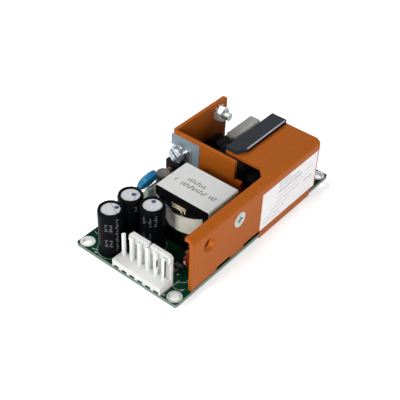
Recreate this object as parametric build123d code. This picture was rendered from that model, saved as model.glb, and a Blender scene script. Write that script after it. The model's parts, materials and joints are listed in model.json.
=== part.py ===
"""An open-frame power supply: a circuit board with two folded heatsinks and its parts, in millimetres.

The origin is the middle of the four mounting holes, on the underside of the board. +X is to the right,
towards the tall heatsink wall, +Y runs along the board from the output end to the input end, +Z is up.
"""
from build123d import *
import math
import os

# Board
board_width = 50.8
board_length = 101.6
board_thickness = 1.6
board_corner_radius = 1.0
mounting_hole_diameter = 4.0
mounting_hole_inset = 3.175
lead_hole_clearance = 0.12
lead_protrusion = 2.5
seat_gap = 0.3

# How far a cutting shape runs past what it cuts, and how near an edge is to its level
overcut = 1.0
level_tolerance = 0.01

# Sheet metal common to both heatsinks
sheet_thickness = 1.6
heatsink_height = 24.8
device_hole_height = 17.0
slot_clearance = 0.15

# Main heatsink: a wall on the right edge of the board, folded over into a top plate and a lip
wall_inset = 0.15
main_bend_radius = 1.0
wall_front_setback = 9.1
wall_rear_setback = 10.8
lip_reach = 3.95
plate_reach = 24.55
plate_front_gap = 2.5
plate_corner_cut = 4.0
skirt_depth = 1.3
skirt_lead = 3.3
skirt_rear_setback = 3.2
wall_notch_height = 1.45
front_foot_length = 15.0
front_notch_length = 8.5
middle_foot_length = 8.4
rear_foot_lift = 0.4

# Side heatsink: two walls, a corner fold and solder tabs
side_wall_inset = 1.2
side_bend_radius = 0.4
side_rear_setback = 0.5
cross_wall_gap = 5.25
cross_wall_length = 32.5
cross_foot_length = 3.5
cross_foot_height = 16.0
side_corner_cut = 1.0
solder_tab_width = 3.0
solder_tab_depth = 1.5
cross_tab_setbacks = (19.2, 32.2)
side_tab_front_gap = 6.2
side_tab_rear_setback = 4.5

# Dark strip along the left edge of the top plate, and the bare label on the wall
strip_width = 7.3
strip_thickness = 1.8
strip_end_margin = 0.2
strip_corner_x = 2.4
strip_corner_y = 4.4
strip_edge_chamfer = 0.4
label_thickness = 0.12
label_height = 18.5
label_lead = 3.7
label_rear_margin = 1.0
label_lift = 1.4

# Fasteners
thread_diameter = 3.5
thread_clearance = 0.1
flat_head_diameter = 6.6
flat_head_recess_length = 3.4
flat_head_recess_width = 0.8
flat_head_recess_depth = 0.7
cheese_head_diameter = 7.0
cheese_head_height = 2.1
cheese_slot_width = 0.9
cheese_slot_depth = 1.0
cheese_slot_angle = 40.0
cheese_screw_overrun = 2.0
flat_washer_diameter = 8.0
flat_washer_thickness = 0.9
nut_across_flats = 6.35
nut_thickness = 2.8
nut_overrun = 0.5
earth_screw_overrun = 2.9
star_washer_diameter = 7.6
star_washer_thickness = 0.6
star_tooth_depth = 0.9
star_tooth_count = 10
star_tooth_overlap = 0.25
earth_hole_setback = 6.0
earth_hole_height = 19.5
spare_hole_setback = 9.7
rectifier_setback = 27.8
transistor_inset = 5.9

# Power devices in a case with a drilled metal tab
device_width = 10.2
device_tab_thickness = 1.3
device_tab_above_hole = 2.7
device_hole_diameter = 3.8
device_case_below_hole = 4.1
device_case_height = 8.7
device_case_thickness = 3.2
device_case_chamfer = 0.5
device_lead_pitch = 2.54
device_lead_width = 0.8
device_lead_shoulder_width = 1.3
device_lead_shoulder_length = 2.6
device_lead_thickness = 0.5
device_lead_setback = 2.6
device_lead_root = 1.2
insulator_thickness = 0.3
front_insulator_left_gap = 0.2
front_insulator_width = 14.6
front_insulator_height = 19.2
front_insulator_lift = 4.4
wall_insulator_width = 12.0
wall_insulator_height = 18.0
wall_insulator_above_hole = 4.4

# Output and input headers with square pins and a friction lock wall
header_pitch = 3.96
pin_width = 1.14
pin_top_height = 14.7
pin_tip_chamfer = 0.3
header_base_depth = 6.2
header_base_height = 3.4
header_pin_setback = 4.5
header_pin_clearance = 0.03
lock_wall_thickness = 1.2
lock_wall_height = 15.0
lock_wall_start = 3.48
lock_slit_width = 1.1
lock_slit_depth = 2.8
lock_slit_position = 10.0
lock_wall_corner = 1.0
lock_lip_reach = 0.8
lock_lip_front = 0.25
lock_lip_drop = 3.2
lock_lip_heel = 4.2
header_recess_width = 2.6
header_recess_height = 1.0
header_recess_depth = 2.6
header_mark_diameter = 0.8
header_mark_depth = 0.5
header_mark_setback = 1.6
output_header_x = 5.9
output_header_ways = 6
input_header_gap = 0.4
input_header_ways = 3

# Upright output capacitors
output_cap_diameter = 10.0
output_cap_height = 20.1
output_cap_lead_pitch = 5.0
output_cap_lead_diameter = 0.6
output_cap_edge_gap = 1.4
output_cap_header_gap = 1.32
output_cap_gap = 0.9
output_cap_side_gap = 0.1
output_cap_step = 1.1
sleeve_thickness = 0.15
sleeve_curl = 1.1
can_rim_radius = 0.6
groove_depth = 0.4
groove_width = 1.2
groove_height = 2.0

# Transformer
transformer_side_gap = 1.65
transformer_front_gap = 1.45
core_width = 26.1
core_depth = 18.4
core_height = 19.1
core_lift = 1.6
core_plate = 4.2
core_leg = 2.6
core_centre_leg_diameter = 12.0
core_air_gap = 0.3
core_edge_chamfer = 0.5
bobbin_clearance = 0.15
bobbin_wall = 0.8
bobbin_flange = 0.9
bobbin_flange_radius = 12.5
bobbin_rail_thickness = 3.1
bobbin_slot_width = 1.1
bobbin_slot_depth = 1.3
winding_radius = 12.0
winding_edge_radius = 3.0
winding_side_gap = 0.15
tape_thickness = 0.2
tape_width = 18.2
transformer_pin_width = 0.7
transformer_pin_pitch = 4.0
transformer_pins_per_side = 5
transformer_pin_depth = 2.5

# Output choke: an upright wound ring beside the main wall
output_choke_diameter = 14.0
output_choke_thickness = 6.6
output_choke_core_diameter = 11.6
output_choke_core_thickness = 4.4
output_choke_core_hole = 7.6
output_choke_hole = 5.4
output_choke_turn_edge = 1.0
output_choke_wall_gap = 0.4
output_choke_core_gap = 0.3
output_choke_lead_diameter = 1.0
output_choke_lead_pitch = 5.0
output_choke_turns = 15
output_choke_wire = 0.9

# Disc capacitor on the left edge, leaning to the right, its coating run down on to its leads
disc_cap_diameter = 9.6
disc_cap_thickness = 4.2
disc_cap_rim = 1.8
disc_cap_edge_inset = 4.1
disc_cap_spacing = 8.05
disc_cap_height = 10.85
disc_cap_lean = 28.0
disc_cap_lead_pitch = 7.5
disc_cap_lead_diameter = 0.6
disc_cap_lead_root = 2.0
disc_cap_lead_knee = 6.3
disc_cap_lead_bend = 1.0
disc_cap_neck_start = 2.4
disc_cap_neck_end = 6.0
disc_cap_neck_diameter = 2.2
disc_cap_neck_tip_diameter = 1.0

# Small upright capacitor behind the disc
auxiliary_cap_diameter = 6.3
auxiliary_cap_height = 10.5
auxiliary_cap_lead_pitch = 2.5
auxiliary_cap_lead_diameter = 0.5
auxiliary_cap_edge_inset = 5.4
auxiliary_cap_wall_gap = 9.9

# Optocoupler under the disc capacitor
optocoupler_edge_inset = 2.4
optocoupler_width = 3.4
optocoupler_length = 4.4
optocoupler_height = 1.9
optocoupler_lead_reach = 0.5
optocoupler_lead_width = 0.5
optocoupler_lead_pitch = 2.0

# Boxed filter capacitor at the input end
filter_cap_length = 17.6
filter_cap_width = 5.0
filter_cap_height = 11.4
filter_cap_groove_setback = 2.0
filter_cap_groove_width = 0.6
filter_cap_groove_depth = 0.4
filter_cap_lead_pitch = 15.0
filter_cap_lead_diameter = 0.8
filter_cap_side_gap = 5.6
filter_cap_rear_gap = 0.2

# Line filter choke: a ring on edge with two windings
line_choke_diameter = 13.0
line_choke_thickness = 7.6
line_choke_core_diameter = 11.0
line_choke_core_thickness = 5.2
line_choke_core_hole = 6.6
line_choke_hole = 4.4
line_choke_winding_gap = 2.4
line_choke_turn_edge = 0.8
line_choke_wall_gap = 0.3
line_choke_rear_gap = 3.0
line_choke_lead_pitch = 8.0
line_choke_lead_diameter = 0.8
line_choke_turns = 16
line_choke_wire = 0.7

# Bulk capacitor lying on its side behind the cross wall
bulk_cap_diameter = 16.0
bulk_cap_length = 25.0
bulk_cap_side_gap = 0.4
bulk_cap_front_gap = 4.2
bulk_cap_lead_pitch = 7.5
bulk_cap_lead_diameter = 0.8
bulk_cap_lead_reach = 1.5
bulk_cap_lead_bend = 0.9

# Bridge rectifier, fuse, thermistor, control circuit and small parts
bridge_width = 15.0
bridge_thickness = 3.6
bridge_height = 11.0
bridge_corner = 2.4
bridge_lift = 1.5
bridge_side_gap = 1.9
bridge_front_gap = 2.5
bridge_leads = 4
bridge_lead_pitch = 3.8
bridge_lead_diameter = 0.8
fuse_diameter = 8.5
fuse_height = 7.8
fuse_side_gap = 0.4
fuse_front_gap = 1.0
fuse_lead_pitch = 5.08
fuse_lead_diameter = 0.6
thermistor_diameter = 9.0
thermistor_thickness = 4.0
thermistor_rim = 2.2
thermistor_side_gap = 1.7
thermistor_front_gap = 2.0
thermistor_lift = 2.4
thermistor_lead_pitch = 5.0
thermistor_lead_diameter = 0.8
control_length = 4.9
control_width = 3.9
control_height = 1.5
control_side_gap = 0.4
control_rear_setback = 6.5
control_lead_pitch = 1.27
control_lead_width = 0.4
control_lead_thickness = 0.2
control_lead_reach = 1.05
control_foot_length = 0.6
control_leads_per_side = 4
chip_length = 3.2
chip_width = 1.6
chip_height = 0.7
front_chip_places = ((13.0, 13.2), (13.0, 16.2), (8.2, 14.6))
front_chip_under_places = ((-3.0, 14.8), (-3.0, 20.3), (4.0, 17.8), (10.0, 20.0))
rear_chip_offsets = (-6.0, 0.0, 6.0)
rear_chip_gap = 2.2
axial_lead_diameter = 0.7
axial_lead_bend = 0.8
diode_diameter = 2.7
diode_length = 5.2
diode_pitch = 10.0
diode_left_offset = 3.45
diode_front_gap = 1.3
resistor_diameter = 2.4
resistor_length = 6.3
resistor_pitch = 9.0
resistor_side_gap = 0.45
resistor_rear_gap = 0.8

# Levels and planes that several parts share
board_top = board_thickness
tip_z = -lead_protrusion
metal_top = board_top + heatsink_height
device_z = board_top + device_hole_height
wall_outer_x = board_width / 2 - wall_inset
wall_inner_x = wall_outer_x - sheet_thickness
plate_left_x = wall_outer_x - plate_reach
side_outer_x = -(board_width / 2 - side_wall_inset)
side_inner_x = side_outer_x + sheet_thickness
cross_end_x = side_outer_x + cross_wall_length
thread_hole_diameter = thread_diameter + 2 * thread_clearance
flat_head_height = (flat_head_diameter - thread_diameter) / 2
earth_z = board_top + earth_hole_height

# Places from the front edge back: capacitors, transformer, cross wall, bulk capacitor, bridge and fuse
left_edge_x = -board_width / 2
front_edge_y = -board_length / 2
rear_edge_y = board_length / 2
output_header_left_x = output_header_x - output_header_ways * header_pitch / 2
first_cap_x = output_header_left_x - output_cap_header_gap - output_cap_diameter / 2
first_cap_y = front_edge_y + output_cap_edge_gap + output_cap_diameter / 2
second_cap_y = first_cap_y + output_cap_diameter + output_cap_gap
third_cap_x = first_cap_x + output_cap_diameter + output_cap_side_gap
third_cap_y = second_cap_y + output_cap_step
rectifier_face_x = wall_inner_x - insulator_thickness - device_tab_thickness - device_case_thickness
bobbin_half_depth = core_depth / 2 + bobbin_clearance + bobbin_rail_thickness
transformer_x = rectifier_face_x - transformer_side_gap - tape_thickness - core_width / 2
transformer_y = third_cap_y + output_cap_diameter / 2 + transformer_front_gap + bobbin_half_depth
diode_x = transformer_x - diode_left_offset
diode_y = transformer_y + bobbin_half_depth + diode_front_gap + diode_diameter / 2
side_front_y = transformer_y + bobbin_half_depth + cross_wall_gap
cross_rear_y = side_front_y + sheet_thickness
heatsink_front_y = front_edge_y + wall_front_setback
heatsink_rear_y = rear_edge_y - wall_rear_setback
plate_front_y = cross_rear_y + plate_front_gap
skirt_front_y = side_front_y - skirt_lead
skirt_rear_y = heatsink_rear_y - skirt_rear_setback
side_rear_y = heatsink_rear_y - side_rear_setback
earth_hole_y = side_rear_y - earth_hole_setback
rectifier_y = heatsink_front_y + rectifier_setback
spare_hole_y = heatsink_front_y + spare_hole_setback
transistor_x = side_outer_x + transistor_inset
auxiliary_cap_x = left_edge_x + auxiliary_cap_edge_inset
auxiliary_cap_y = side_front_y - auxiliary_cap_wall_gap
disc_cap_x = left_edge_x + disc_cap_edge_inset
disc_cap_y = auxiliary_cap_y - disc_cap_spacing
thermistor_x = side_inner_x + thermistor_side_gap + thermistor_diameter / 2
thermistor_y = cross_rear_y + thermistor_front_gap + thermistor_thickness / 2
line_choke_x = side_inner_x + line_choke_wall_gap + line_choke_diameter / 2
line_choke_right_x = line_choke_x + line_choke_diameter / 2
bulk_cap_y = cross_rear_y + bulk_cap_front_gap + bulk_cap_diameter / 2
bulk_cap_right_x = line_choke_right_x + bulk_cap_side_gap + bulk_cap_length
bulk_rear_y = bulk_cap_y + bulk_cap_diameter / 2
fuse_x = line_choke_right_x + fuse_side_gap + fuse_diameter / 2
fuse_y = bulk_rear_y + fuse_front_gap + fuse_diameter / 2
bridge_x = fuse_x + fuse_diameter / 2 + bridge_side_gap + bridge_width / 2
bridge_y = bulk_rear_y + bridge_front_gap + bridge_thickness / 2

# Places from the rear edge forward, and from the filter capacitor to the right
filter_cap_x = side_inner_x + filter_cap_side_gap + filter_cap_width / 2
filter_cap_rear_y = rear_edge_y - filter_cap_rear_gap
filter_cap_front_y = filter_cap_rear_y - filter_cap_length
line_choke_y = filter_cap_front_y - line_choke_rear_gap - line_choke_thickness / 2
resistor_reach = (resistor_pitch + axial_lead_diameter) / 2
resistor_x = filter_cap_x + filter_cap_width / 2 + resistor_side_gap + resistor_reach
resistor_y = rear_edge_y - resistor_rear_gap - resistor_diameter / 2
input_header_left_x = resistor_x + resistor_reach + input_header_gap
input_header_right_x = input_header_left_x + input_header_ways * header_pitch
control_x = input_header_right_x + control_side_gap + control_length / 2
control_y = rear_edge_y - control_rear_setback

# Holes that the board gets, filled in as each part is placed: x, y and diameter
lead_holes = []


def block(x0, x1, y0, y1, z0, z1):
    """A box between two opposite corners."""
    return Pos((x0 + x1) / 2, (y0 + y1) / 2, (z0 + z1) / 2) * Box(x1 - x0, y1 - y0, z1 - z0)


def post(x, y, z0, z1, diameter):
    """An upright round bar."""
    return Pos(x, y, (z0 + z1) / 2) * Cylinder(diameter / 2, z1 - z0)


def bar_x(y, z, x0, x1, diameter):
    """A round bar along X."""
    return Pos((x0 + x1) / 2, y, z) * Rot(0, 90, 0) * Cylinder(diameter / 2, x1 - x0)


def bar_y(x, z, y0, y1, diameter):
    """A round bar along Y."""
    return Pos(x, (y0 + y1) / 2, z) * Rot(90, 0, 0) * Cylinder(diameter / 2, y1 - y0)


def turned(points):
    """A solid turned about Z from a half section given as radius and height."""
    return revolve(Plane.XZ * make_face(Polyline(*points, close=True)), Axis.Z)


def drill(x, y, size):
    """Notes a hole in the board for a round lead of that diameter, or a square one of that width."""
    lead_holes.append((x, y, size + 2 * lead_hole_clearance))


def round_lead(x, y, top, diameter):
    """A straight lead from a part down through the board."""
    drill(x, y, diameter)
    return post(x, y, tip_z, top, diameter)


def square_pin(x, y, top, width):
    """A square pin down through the board; its hole clears its corners."""
    drill(x, y, width * math.sqrt(2))
    return block(x - width / 2, x + width / 2, y - width / 2, y + width / 2, tip_z, top)


def save(name, shape):
    """Writes one part to its own file."""
    export_step(shape, f"parts/{name}.step")


def save_group(name, shapes):
    """Writes several separate solids that make one part list line."""
    export_step(Compound(children=[shape.solid() for shape in shapes]), f"parts/{name}.step")


# Main heatsink
def countersunk_hole(y, z):
    """A cone and bore through the right wall for a flat head screw, seen from outside."""
    mouth = thread_hole_diameter / 2 + sheet_thickness
    cone = Cone(thread_hole_diameter / 2, mouth, sheet_thickness)
    return Pos(wall_outer_x - sheet_thickness / 2, y, z) * Rot(0, 90, 0) * cone


def main_heatsink():
    bend = main_bend_radius + sheet_thickness
    length = heatsink_rear_y - heatsink_front_y
    folded = Polyline(
        (plate_left_x, metal_top - sheet_thickness),
        (plate_left_x, metal_top),
        (wall_outer_x, metal_top),
        (wall_outer_x, -skirt_depth),
        (wall_inner_x, -skirt_depth),
        (wall_inner_x, metal_top - sheet_thickness),
        close=True,
    )
    section = make_face(folded)
    outer = section.vertices().sort_by(lambda v: v.X + v.Y)[-1]
    section = fillet(outer, bend)
    inner = section.vertices().sort_by_distance((wall_inner_x, metal_top - sheet_thickness))[0]
    section = fillet(inner, main_bend_radius)
    sheet = Pos(0, heatsink_rear_y, 0) * extrude(Plane.XZ * section, length)
    lip_x = wall_outer_x - lip_reach
    outside = plate_left_x - sheet_thickness
    before = heatsink_front_y - sheet_thickness
    open_top = Polyline(
        (outside, before),
        (lip_x, before),
        (lip_x, plate_front_y - plate_corner_cut),
        (lip_x - plate_corner_cut, plate_front_y),
        (outside, plate_front_y),
        close=True,
    )
    sheet -= Pos(0, 0, metal_top - bend) * extrude(make_face(open_top), 2 * bend)
    return sheet - wall_foot_cuts() - [countersunk_hole(y, device_z) for y in (rectifier_y, spare_hole_y)]


def wall_foot_cuts():
    """What the lower edge of the wall leaves out: notches, the rear foot and the front of the skirt."""
    x0 = wall_inner_x - sheet_thickness
    x1 = wall_outer_x + sheet_thickness
    below = -2 * skirt_depth
    first_notch = heatsink_front_y + front_foot_length
    second_foot = first_notch + front_notch_length
    second_notch = second_foot + middle_foot_length
    notch_top = board_top + wall_notch_height
    return [
        block(x0, x1, heatsink_front_y - overcut, skirt_front_y, below, board_top),
        block(x0, x1, first_notch, second_foot, below, notch_top),
        block(x0, x1, second_notch, skirt_front_y, below, notch_top),
        block(x0, x1, skirt_rear_y, heatsink_rear_y + overcut, below, board_top + rear_foot_lift),
    ]


# Side heatsink
def side_tabs(grow):
    """Solder tabs below both walls, or their slots in the board when grown."""
    deep = -solder_tab_depth - grow
    half = solder_tab_width / 2 + grow
    tabs = []
    for setback in cross_tab_setbacks:
        x = side_outer_x + setback
        tabs.append(block(x - half, x + half, side_front_y - grow, cross_rear_y + grow, deep, board_top))
    for y in (cross_rear_y + side_tab_front_gap, side_rear_y - side_tab_rear_setback):
        tabs.append(block(side_outer_x - grow, side_inner_x + grow, y - half, y + half, deep, board_top))
    return tabs


def side_heatsink():
    foot_end_x = cross_end_x + cross_foot_length
    plan = Polyline(
        (side_outer_x, side_rear_y),
        (side_outer_x, side_front_y),
        (foot_end_x, side_front_y),
        (foot_end_x, cross_rear_y),
        (side_inner_x, cross_rear_y),
        (side_inner_x, side_rear_y),
        close=True,
    )
    section = make_face(plan)
    corner = section.vertices().sort_by_distance((side_outer_x, side_front_y))[0]
    section = fillet(corner, side_bend_radius + sheet_thickness)
    corner = section.vertices().sort_by_distance((side_inner_x, cross_rear_y))[0]
    section = fillet(corner, side_bend_radius)
    sheet = Pos(0, 0, board_top) * extrude(section, heatsink_height)
    sheet += side_tabs(0)
    sheet -= block(cross_end_x, foot_end_x + overcut, side_front_y - overcut, cross_rear_y + overcut,
                   board_top + cross_foot_height, metal_top + overcut)
    rear_top = sheet.edges().filter_by(Axis.X).sort_by(lambda e: e.center().Y + e.center().Z)[-1]
    sheet = chamfer(rear_top, side_corner_cut)
    sheet -= bar_y(transistor_x, device_z, side_front_y - overcut, cross_rear_y + overcut,
                   thread_hole_diameter)
    mouth = thread_hole_diameter / 2 + sheet_thickness
    cone = Cone(mouth, thread_hole_diameter / 2, sheet_thickness)
    return sheet - Pos(side_outer_x + sheet_thickness / 2, earth_hole_y, earth_z) * Rot(0, 90, 0) * cone


# Trim on the main heatsink
def edge_strip():
    x0 = plate_left_x
    x1 = plate_left_x + strip_width
    y0 = plate_front_y + strip_end_margin
    y1 = heatsink_rear_y - strip_end_margin
    corner_x = x1 - strip_corner_x
    plan = Polyline((x0, y0), (corner_x, y0), (x1, y0 + strip_corner_y), (x1, y1), (x0, y1), close=True)
    strip = Pos(0, 0, metal_top) * extrude(make_face(plan), strip_thickness)
    right_edge = strip.edges().filter_by(Axis.Y).sort_by(lambda e: e.center().X + e.center().Z)[-1]
    return chamfer(right_edge, strip_edge_chamfer)


def blank_label():
    z0 = board_top + label_lift
    return block(wall_outer_x, wall_outer_x + label_thickness, side_front_y - label_lead,
                 heatsink_rear_y - label_rear_margin, z0, z0 + label_height)


# Power devices, drawn about the tab hole with the back of the tab at y = 0
def device_leads(k):
    """One lead of a device: k is -1, 0 or 1. It starts inside the case."""
    x = k * device_lead_pitch
    y0 = -device_lead_setback - device_lead_thickness / 2
    y1 = -device_lead_setback + device_lead_thickness / 2
    case_bottom = -device_case_below_hole - device_case_height
    shoulder_end = case_bottom - device_lead_shoulder_length
    half = device_lead_width / 2
    wide = device_lead_shoulder_width / 2
    lead = block(x - half, x + half, y0, y1, tip_z - device_z, shoulder_end)
    lead += block(x - wide, x + wide, y0, y1, shoulder_end, case_bottom + device_lead_root)
    if k == 0:
        lead += block(x - wide, x + wide, y0, -device_tab_thickness,
                      case_bottom + device_lead_root / 2, case_bottom + device_lead_root)
    return lead


def device_leadframe():
    """The drilled tab with its middle lead as one piece, and the two outer leads."""
    half = device_width / 2
    case_bottom = -device_case_below_hole - device_case_height
    tab = block(-half, half, -device_tab_thickness, 0, case_bottom, device_tab_above_hole)
    tab -= bar_y(0, 0, -2 * device_tab_thickness, device_tab_thickness, device_hole_diameter)
    return [tab + device_leads(0), device_leads(-1), device_leads(1)]


def device_case():
    half = device_width / 2
    case_top = -device_case_below_hole
    case_bottom = case_top - device_case_height
    front = -device_tab_thickness - device_case_thickness
    case = block(-half, half, front, -device_tab_thickness, case_bottom, case_top)
    case = chamfer(case.faces().sort_by(Axis.Y)[0].edges(), device_case_chamfer)
    return case - [device_leads(k) for k in (-1, 0, 1)]


def drill_device(x, y, along_x):
    """Board holes for the three leads of a device whose tab back is at x, y."""
    for k in (-1, 0, 1):
        step = k * device_lead_pitch
        if along_x:
            drill(x + step, y - device_lead_setback, device_lead_width)
        else:
            drill(x - device_lead_setback, y + step, device_lead_width)


def front_transistor():
    back_y = side_front_y - insulator_thickness
    place = Pos(transistor_x, back_y, device_z)
    drill_device(transistor_x, back_y, True)
    save("front_transistor_case", place * device_case())
    save_group("front_transistor_leadframe", [place * s for s in device_leadframe()])
    left = side_outer_x + front_insulator_left_gap
    low = board_top + front_insulator_lift
    pad = block(left, left + front_insulator_width, back_y, side_front_y, low, low + front_insulator_height)
    pad -= bar_y(transistor_x, device_z, back_y - overcut, side_front_y + overcut, device_hole_diameter)
    save("front_insulating_pad", pad)
    washer_back = back_y - device_tab_thickness
    washer_front = washer_back - flat_washer_thickness
    washer = bar_y(transistor_x, device_z, washer_front, washer_back, flat_washer_diameter)
    washer -= bar_y(transistor_x, device_z, washer_front - overcut, washer_back + overcut,
                    device_hole_diameter)
    save("flat_washer", washer)
    save("cheese_head_screw", Pos(transistor_x, washer_front, device_z) * cheese_head_screw(washer_front))


def cheese_head_screw(seat_y):
    """A slotted screw drawn under its head, with the head towards -Y."""
    shank = cross_rear_y + cheese_screw_overrun - seat_y
    head = bar_y(0, 0, -cheese_head_height, 0, cheese_head_diameter)
    reach = cheese_head_diameter
    slot = block(-reach, reach, -cheese_head_height - overcut, -cheese_head_height + cheese_slot_depth,
                 -cheese_slot_width / 2, cheese_slot_width / 2)
    return head - Rot(0, cheese_slot_angle, 0) * slot + bar_y(0, 0, 0, shank, thread_diameter)


def wall_rectifier():
    back_x = wall_inner_x - insulator_thickness
    place = Pos(back_x, rectifier_y, device_z) * Rot(0, 0, -90)
    drill_device(back_x, rectifier_y, False)
    save("rectifier_case", place * device_case())
    save_group("rectifier_leadframe", [place * s for s in device_leadframe()])
    half = wall_insulator_width / 2
    high = device_z + wall_insulator_above_hole
    low = high - wall_insulator_height
    pad = block(back_x, wall_inner_x, rectifier_y - half, rectifier_y + half, low, high)
    pad -= bar_x(rectifier_y, device_z, back_x - overcut, wall_inner_x + overcut, device_hole_diameter)
    save("rectifier_insulating_pad", pad)


# Screws and nuts through the two walls
def flat_head_screw(length):
    """A flat head screw drawn down from the face of its head."""
    head = flat_head_diameter / 2
    shank = thread_diameter / 2
    screw = turned([(0, 0), (head, 0), (shank, -flat_head_height), (shank, -length), (0, -length)])
    arm = flat_head_recess_length / 2
    half = flat_head_recess_width / 2
    screw -= block(-arm, arm, -half, half, -flat_head_recess_depth, overcut)
    return screw - block(-half, half, -arm, arm, -flat_head_recess_depth, overcut)


def hex_nut():
    """A nut with its base at z = 0."""
    nut = extrude(RegularPolygon(nut_across_flats / 2, 6, major_radius=False), nut_thickness)
    return nut - Pos(0, 0, nut_thickness / 2) * Cylinder(thread_hole_diameter / 2, 2 * nut_thickness)


def star_washer():
    """A washer with teeth round its rim, drawn from z = 0 up."""
    outer = star_washer_diameter / 2
    root = outer - star_tooth_depth
    tooth = math.pi * root / star_tooth_count
    inner = root - 2 * star_tooth_overlap
    plan = Circle(root)
    for k in range(star_tooth_count):
        turn = Rot(0, 0, 360 * k / star_tooth_count)
        plan += turn * Pos((inner + outer) / 2, 0) * Rectangle(outer - inner, tooth)
    return extrude(plan - Circle(thread_hole_diameter / 2), star_washer_thickness)


def wall_fasteners():
    tab_face_x = wall_inner_x - insulator_thickness - device_tab_thickness
    nut_end_x = tab_face_x - nut_thickness
    right = Pos(wall_outer_x, rectifier_y, device_z) * Rot(0, 90, 0) * flat_head_screw(
        wall_outer_x - nut_end_x + nut_overrun)
    washer_face_x = side_inner_x + star_washer_thickness
    earth_length = washer_face_x + nut_thickness + earth_screw_overrun - side_outer_x
    left = Pos(side_outer_x, earth_hole_y, earth_z) * Rot(0, -90, 0) * flat_head_screw(earth_length)
    save_group("countersunk_screws", [right, left])
    save("star_washer", Pos(side_inner_x, earth_hole_y, earth_z) * Rot(0, 90, 0) * star_washer())
    right_nut = Pos(nut_end_x, rectifier_y, device_z) * Rot(0, 90, 0) * hex_nut()
    left_nut = Pos(washer_face_x, earth_hole_y, earth_z) * Rot(0, 90, 0) * hex_nut()
    save_group("hex_nuts", [right_nut, left_nut])


# Headers
def lock_wall(length):
    """The wall behind the pins: a lip along its top holds the plug, and its top corners are cut."""
    front = header_base_depth
    rear = front + lock_wall_thickness
    top = board_top + lock_wall_height
    section = Polyline(
        (front, board_top),
        (rear, board_top),
        (rear, top),
        (front - lock_lip_front, top),
        (front - lock_lip_reach, top - lock_lip_drop),
        (front, top - lock_lip_heel),
        close=True,
    )
    wall = Pos(lock_wall_start, 0, 0) * extrude(Plane.YZ * make_face(section), length - lock_wall_start)
    for x, side in ((lock_wall_start, 1), (length, -1)):
        cut = lock_wall_corner
        corner = Polyline((x, top), (x + side * cut, top), (x, top - cut), close=True)
        wall -= Pos(0, rear + overcut, 0) * extrude(Plane.XZ * make_face(corner), header_base_depth)
    return wall


def lock_slit():
    """The V cut in the top edge of the lock wall of the long header."""
    x = lock_wall_start + lock_slit_position
    half = lock_slit_width / 2
    top = board_top + lock_wall_height
    slit = Polyline((x - half, top), (x + half, top), (x, top - lock_slit_depth), close=True)
    rear = header_base_depth + lock_wall_thickness
    return Pos(0, rear + overcut, 0) * extrude(Plane.XZ * make_face(slit), header_base_depth)


def header_housing(ways, pins):
    """A header with its front face at y = 0, lying towards +Y, its left end at x = 0."""
    length = ways * header_pitch
    base_top = board_top + header_base_height
    body = block(0, length, 0, header_base_depth, board_top, base_top) + lock_wall(length)
    for k in range(ways):
        x = (k + 0.5) * header_pitch
        half = header_recess_width / 2
        body -= block(x - half, x + half, -overcut, header_recess_depth,
                      board_top - overcut, board_top + header_recess_height)
    half = pin_width / 2 + header_pin_clearance
    for k in pins:
        x = (k + 0.5) * header_pitch
        body -= block(x - half, x + half, header_pin_setback - half, header_pin_setback + half,
                      board_top - overcut, base_top + overcut)
    mark_z = base_top - header_mark_depth
    mark = post(header_pitch / 2, header_mark_setback, mark_z, base_top + overcut, header_mark_diameter)
    return body - mark


def header(name, place, housing, pins):
    """Saves a housing and its pins at their place."""
    save(f"{name}_housing", place * housing)
    solids = []
    for k in pins:
        spot = (place * Pos((k + 0.5) * header_pitch, header_pin_setback, 0)).position
        pin = square_pin(spot.X, spot.Y, board_top + pin_top_height, pin_width)
        solids.append(chamfer(pin.faces().sort_by(Axis.Z)[-1].edges(), pin_tip_chamfer))
    save_group(f"{name}_pins", solids)


def headers():
    pins = range(output_header_ways)
    housing = header_housing(output_header_ways, pins) - lock_slit()
    header("output_header", Pos(output_header_left_x, front_edge_y, 0), housing, pins)
    pins = range(0, input_header_ways, 2)
    housing = header_housing(input_header_ways, pins)
    header("input_header", Pos(input_header_right_x, rear_edge_y, 0) * Rot(0, 0, 180), housing, pins)


# Capacitors in a metal can with a printed sleeve
def can_side(radius):
    """The outline of a can or its sleeve, from its base up past the rolled groove."""
    return [
        (radius, 0),
        (radius, groove_height),
        (radius - groove_depth, groove_height + groove_width / 2),
        (radius, groove_height + groove_width),
    ]


def can_solid(diameter, height):
    """A can with a rounded rim."""
    radius = diameter / 2 - sleeve_thickness
    top = height - sleeve_thickness
    can = turned([(0, 0)] + can_side(radius) + [(radius, top), (0, top)])
    return fillet(can.edges().group_by(Axis.Z)[-1], can_rim_radius)


def can_sleeve(diameter, height):
    """A thin tube that curls over the rim of the can."""
    radius = diameter / 2
    top = height - sleeve_thickness
    rim = radius - sleeve_curl
    inside = [(radius - sleeve_thickness, top)] + can_side(radius - sleeve_thickness)[::-1]
    sleeve = turned(can_side(radius) + [(radius, height), (rim, height), (rim, top)] + inside)
    outer_corner = sleeve.edges().group_by(Axis.Z)[-1].sort_by(SortBy.LENGTH)[-1]
    sleeve = fillet(outer_corner, can_rim_radius + sleeve_thickness)
    under_curl = sleeve.edges().filter_by_position(Axis.Z, top - level_tolerance, top + level_tolerance)
    return fillet(under_curl.sort_by(SortBy.LENGTH)[-1], can_rim_radius)


def upright_capacitor(name, x, y, diameter, height, pitch, lead_diameter, turn):
    """Saves a can with its leads, and its sleeve; turn is the direction of the leads in degrees."""
    place = Pos(x, y, board_top + seat_gap)
    can = place * can_solid(diameter, height)
    dx = pitch / 2 * math.cos(math.radians(turn))
    dy = pitch / 2 * math.sin(math.radians(turn))
    for side in (-1, 1):
        can += round_lead(x + side * dx, y + side * dy, board_top + seat_gap, lead_diameter)
    save(name, can)
    save(name + "_sleeve", place * can_sleeve(diameter, height))


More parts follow.
